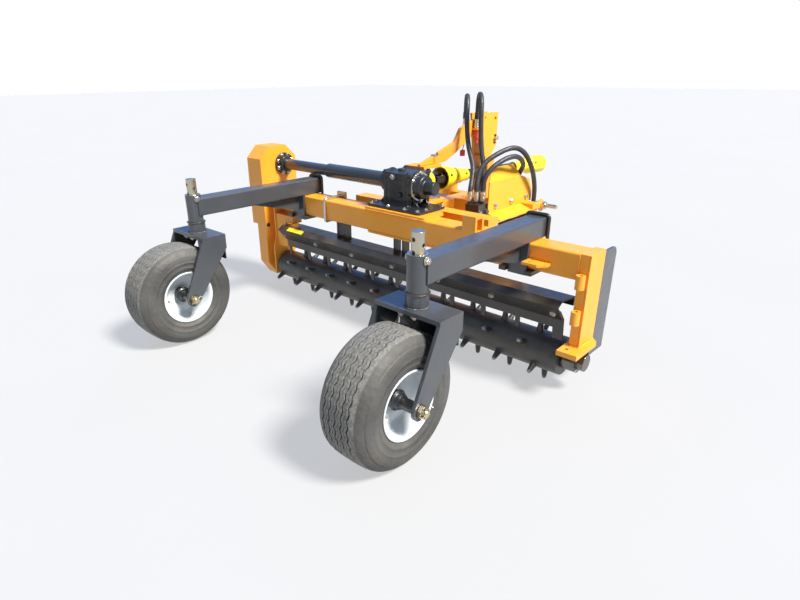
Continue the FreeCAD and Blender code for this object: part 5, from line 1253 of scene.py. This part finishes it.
# %% Webs, nuts and screws
for side, x in CASTERS:
    web = bmesh.new()
    block(web, (x - LEG_IN, -573, 373), (x + LEG_IN, -567, 478.3))
    # The web's black finish is painted shade between the fork's legs.
    built_on("caster_" + side, "fork_web_painted_shade_" + side, web, "black_casting")
    bolt("web_nuts_" + side, "caster_" + side,
         [(x + off, -573, z, REAR) for off, z in ((-29, 464), (10, 466), (60, 448))], 7, seed=51)
bolt("bearing_bolts", "main", [(890, 1.6, 156.8, (0, -0.8, 0.6)), (-895, 2, 140, RIGHT)], 9, seed=41)
CASE_FACE_X = -1072
COVER_EDGE = [(-34, 370), (-34, 470), (-34, 570), (-34, 670), (-10, 742), (38, 773), (106, 773),
              (154, 742), (177, 670), (177, 570), (177, 470), (177, 370), (106, 362), (38, 362)]
for name, finish, radius, length, sides in (("cover_screws", "zinc", 8.5, 2.3, 24),
                                            ("cover_screw_sockets", "black_plastic", 4.2, 2.5, 6)):
    screws = bmesh.new()
    for y, z in COVER_EDGE:
        bar(screws, (CASE_FACE_X, y, z), (CASE_FACE_X - length, y, z), radius, sides=sides)
    built_on("main", name, screws, finish)
for n, y in enumerate((395, 445)):
    bolt("block_plug_%d" % n, "hitch", [(196, y, 528, RIGHT)], 15, finish="dark_steel", seed=43 + n)
print("webs, nuts and screws placed")

# %% [markdown]
# ## Finishing the hoses
# The hoses ride on the hitch. Each gets its rubber finish, and the frame's own hose pieces are hidden.

# %% Hoses finished
for name, hose in hoses.items():
    dress(hose, "hitch", "hose_rubber", (name,))

# %% [markdown]
# ## Floor and light
# A plain pale floor and a bright, even surround show the shape without distraction. Two large soft
# lamps stand in for the sun and a window: the strong one is above and to the machine's right, so
# tops and right-hand faces are bright and rear faces turn deeper in colour.

# %% Floor
floor_mesh = bpy.data.meshes.new("floor")
shape = bmesh.new()
bmesh.ops.create_grid(shape, x_segments=8, y_segments=8, size=40)
shape.to_mesh(floor_mesh)
shape.free()
floor = bpy.data.objects.new("floor", floor_mesh)
scene.collection.objects.link(floor)
floor_paint = bpy.data.materials.new("pale_floor")
floor_paint.use_nodes = True
floor_tree = floor_paint.node_tree
floor_shader = floor_tree.nodes["Principled BSDF"]
ground = noise(floor_tree, own_place(floor_tree), 0.8)
floor_tree.links.new(mix_colour(floor_tree, ground, (0.16, 0.16, 0.16), (0.18, 0.18, 0.18)),
                     floor_shader.inputs["Base Color"])
floor_shader.inputs["Roughness"].default_value = 0.9
floor_shader.inputs["Emission Color"].default_value = (1.0, 1.0, 1.0, 1.0)
floor_shader.inputs["Emission Strength"].default_value = 0.5
floor_mesh.materials.append(floor_paint)
print("floor laid")

# %% Light
def lamp(name, kind, energy, colour, place, way):
    """A lamp at a place, looking along a direction."""
    light = bpy.data.lights.new(name, kind)
    light.energy = energy
    light.color = colour
    made = bpy.data.objects.new(name, light)
    made.location = place
    made.rotation_euler = way.to_track_quat("-Z", "Y").to_euler()
    scene.collection.objects.link(made)
    return light


sun = lamp("sun", "SUN", 8.0, (1.0, 0.97, 0.92), Vector(), Vector((-0.62, -0.10, -0.78)))
sun.angle = math.radians(14)
window_at = mm(1000, -4000, 2600)
window = lamp("window", "AREA", 12, (0.92, 0.96, 1.0), window_at, mm(0, -100, 400) - window_at)
window.shape = "SQUARE"
window.size = 3.0
world = bpy.data.worlds.new("surround")
world.use_nodes = True
scene.world = world
sky = world.node_tree
background = sky.nodes["Background"]
seen_to = split(sky, add(sky, "ShaderNodeTexCoord").outputs["Generated"])
overhead = mix_colour(sky, remap(sky, seen_to[2], 0.1, 0.75), (0.30, 0.315, 0.345),
                      (0.26, 0.36, 0.56))
away = maths(sky, "SUBTRACT", seen_to[1], seen_to[0])
clear = maths(sky, "MULTIPLY", remap(sky, away, 0.5, 1.15), remap(sky, seen_to[2], 0.12, 0.3))
overhead = mix_colour(sky, clear, overhead, (0.22, 0.48, 1.15))
seen = add(sky, "ShaderNodeLightPath").outputs["Is Camera Ray"]
sky.links.new(mix_colour(sky, seen, overhead, (1.0, 1.0, 1.0)), background.inputs["Color"])
background.inputs["Strength"].default_value = 1.0
scene.view_settings.view_transform = "Standard"
scene.view_settings.look = "None"
print("light set")
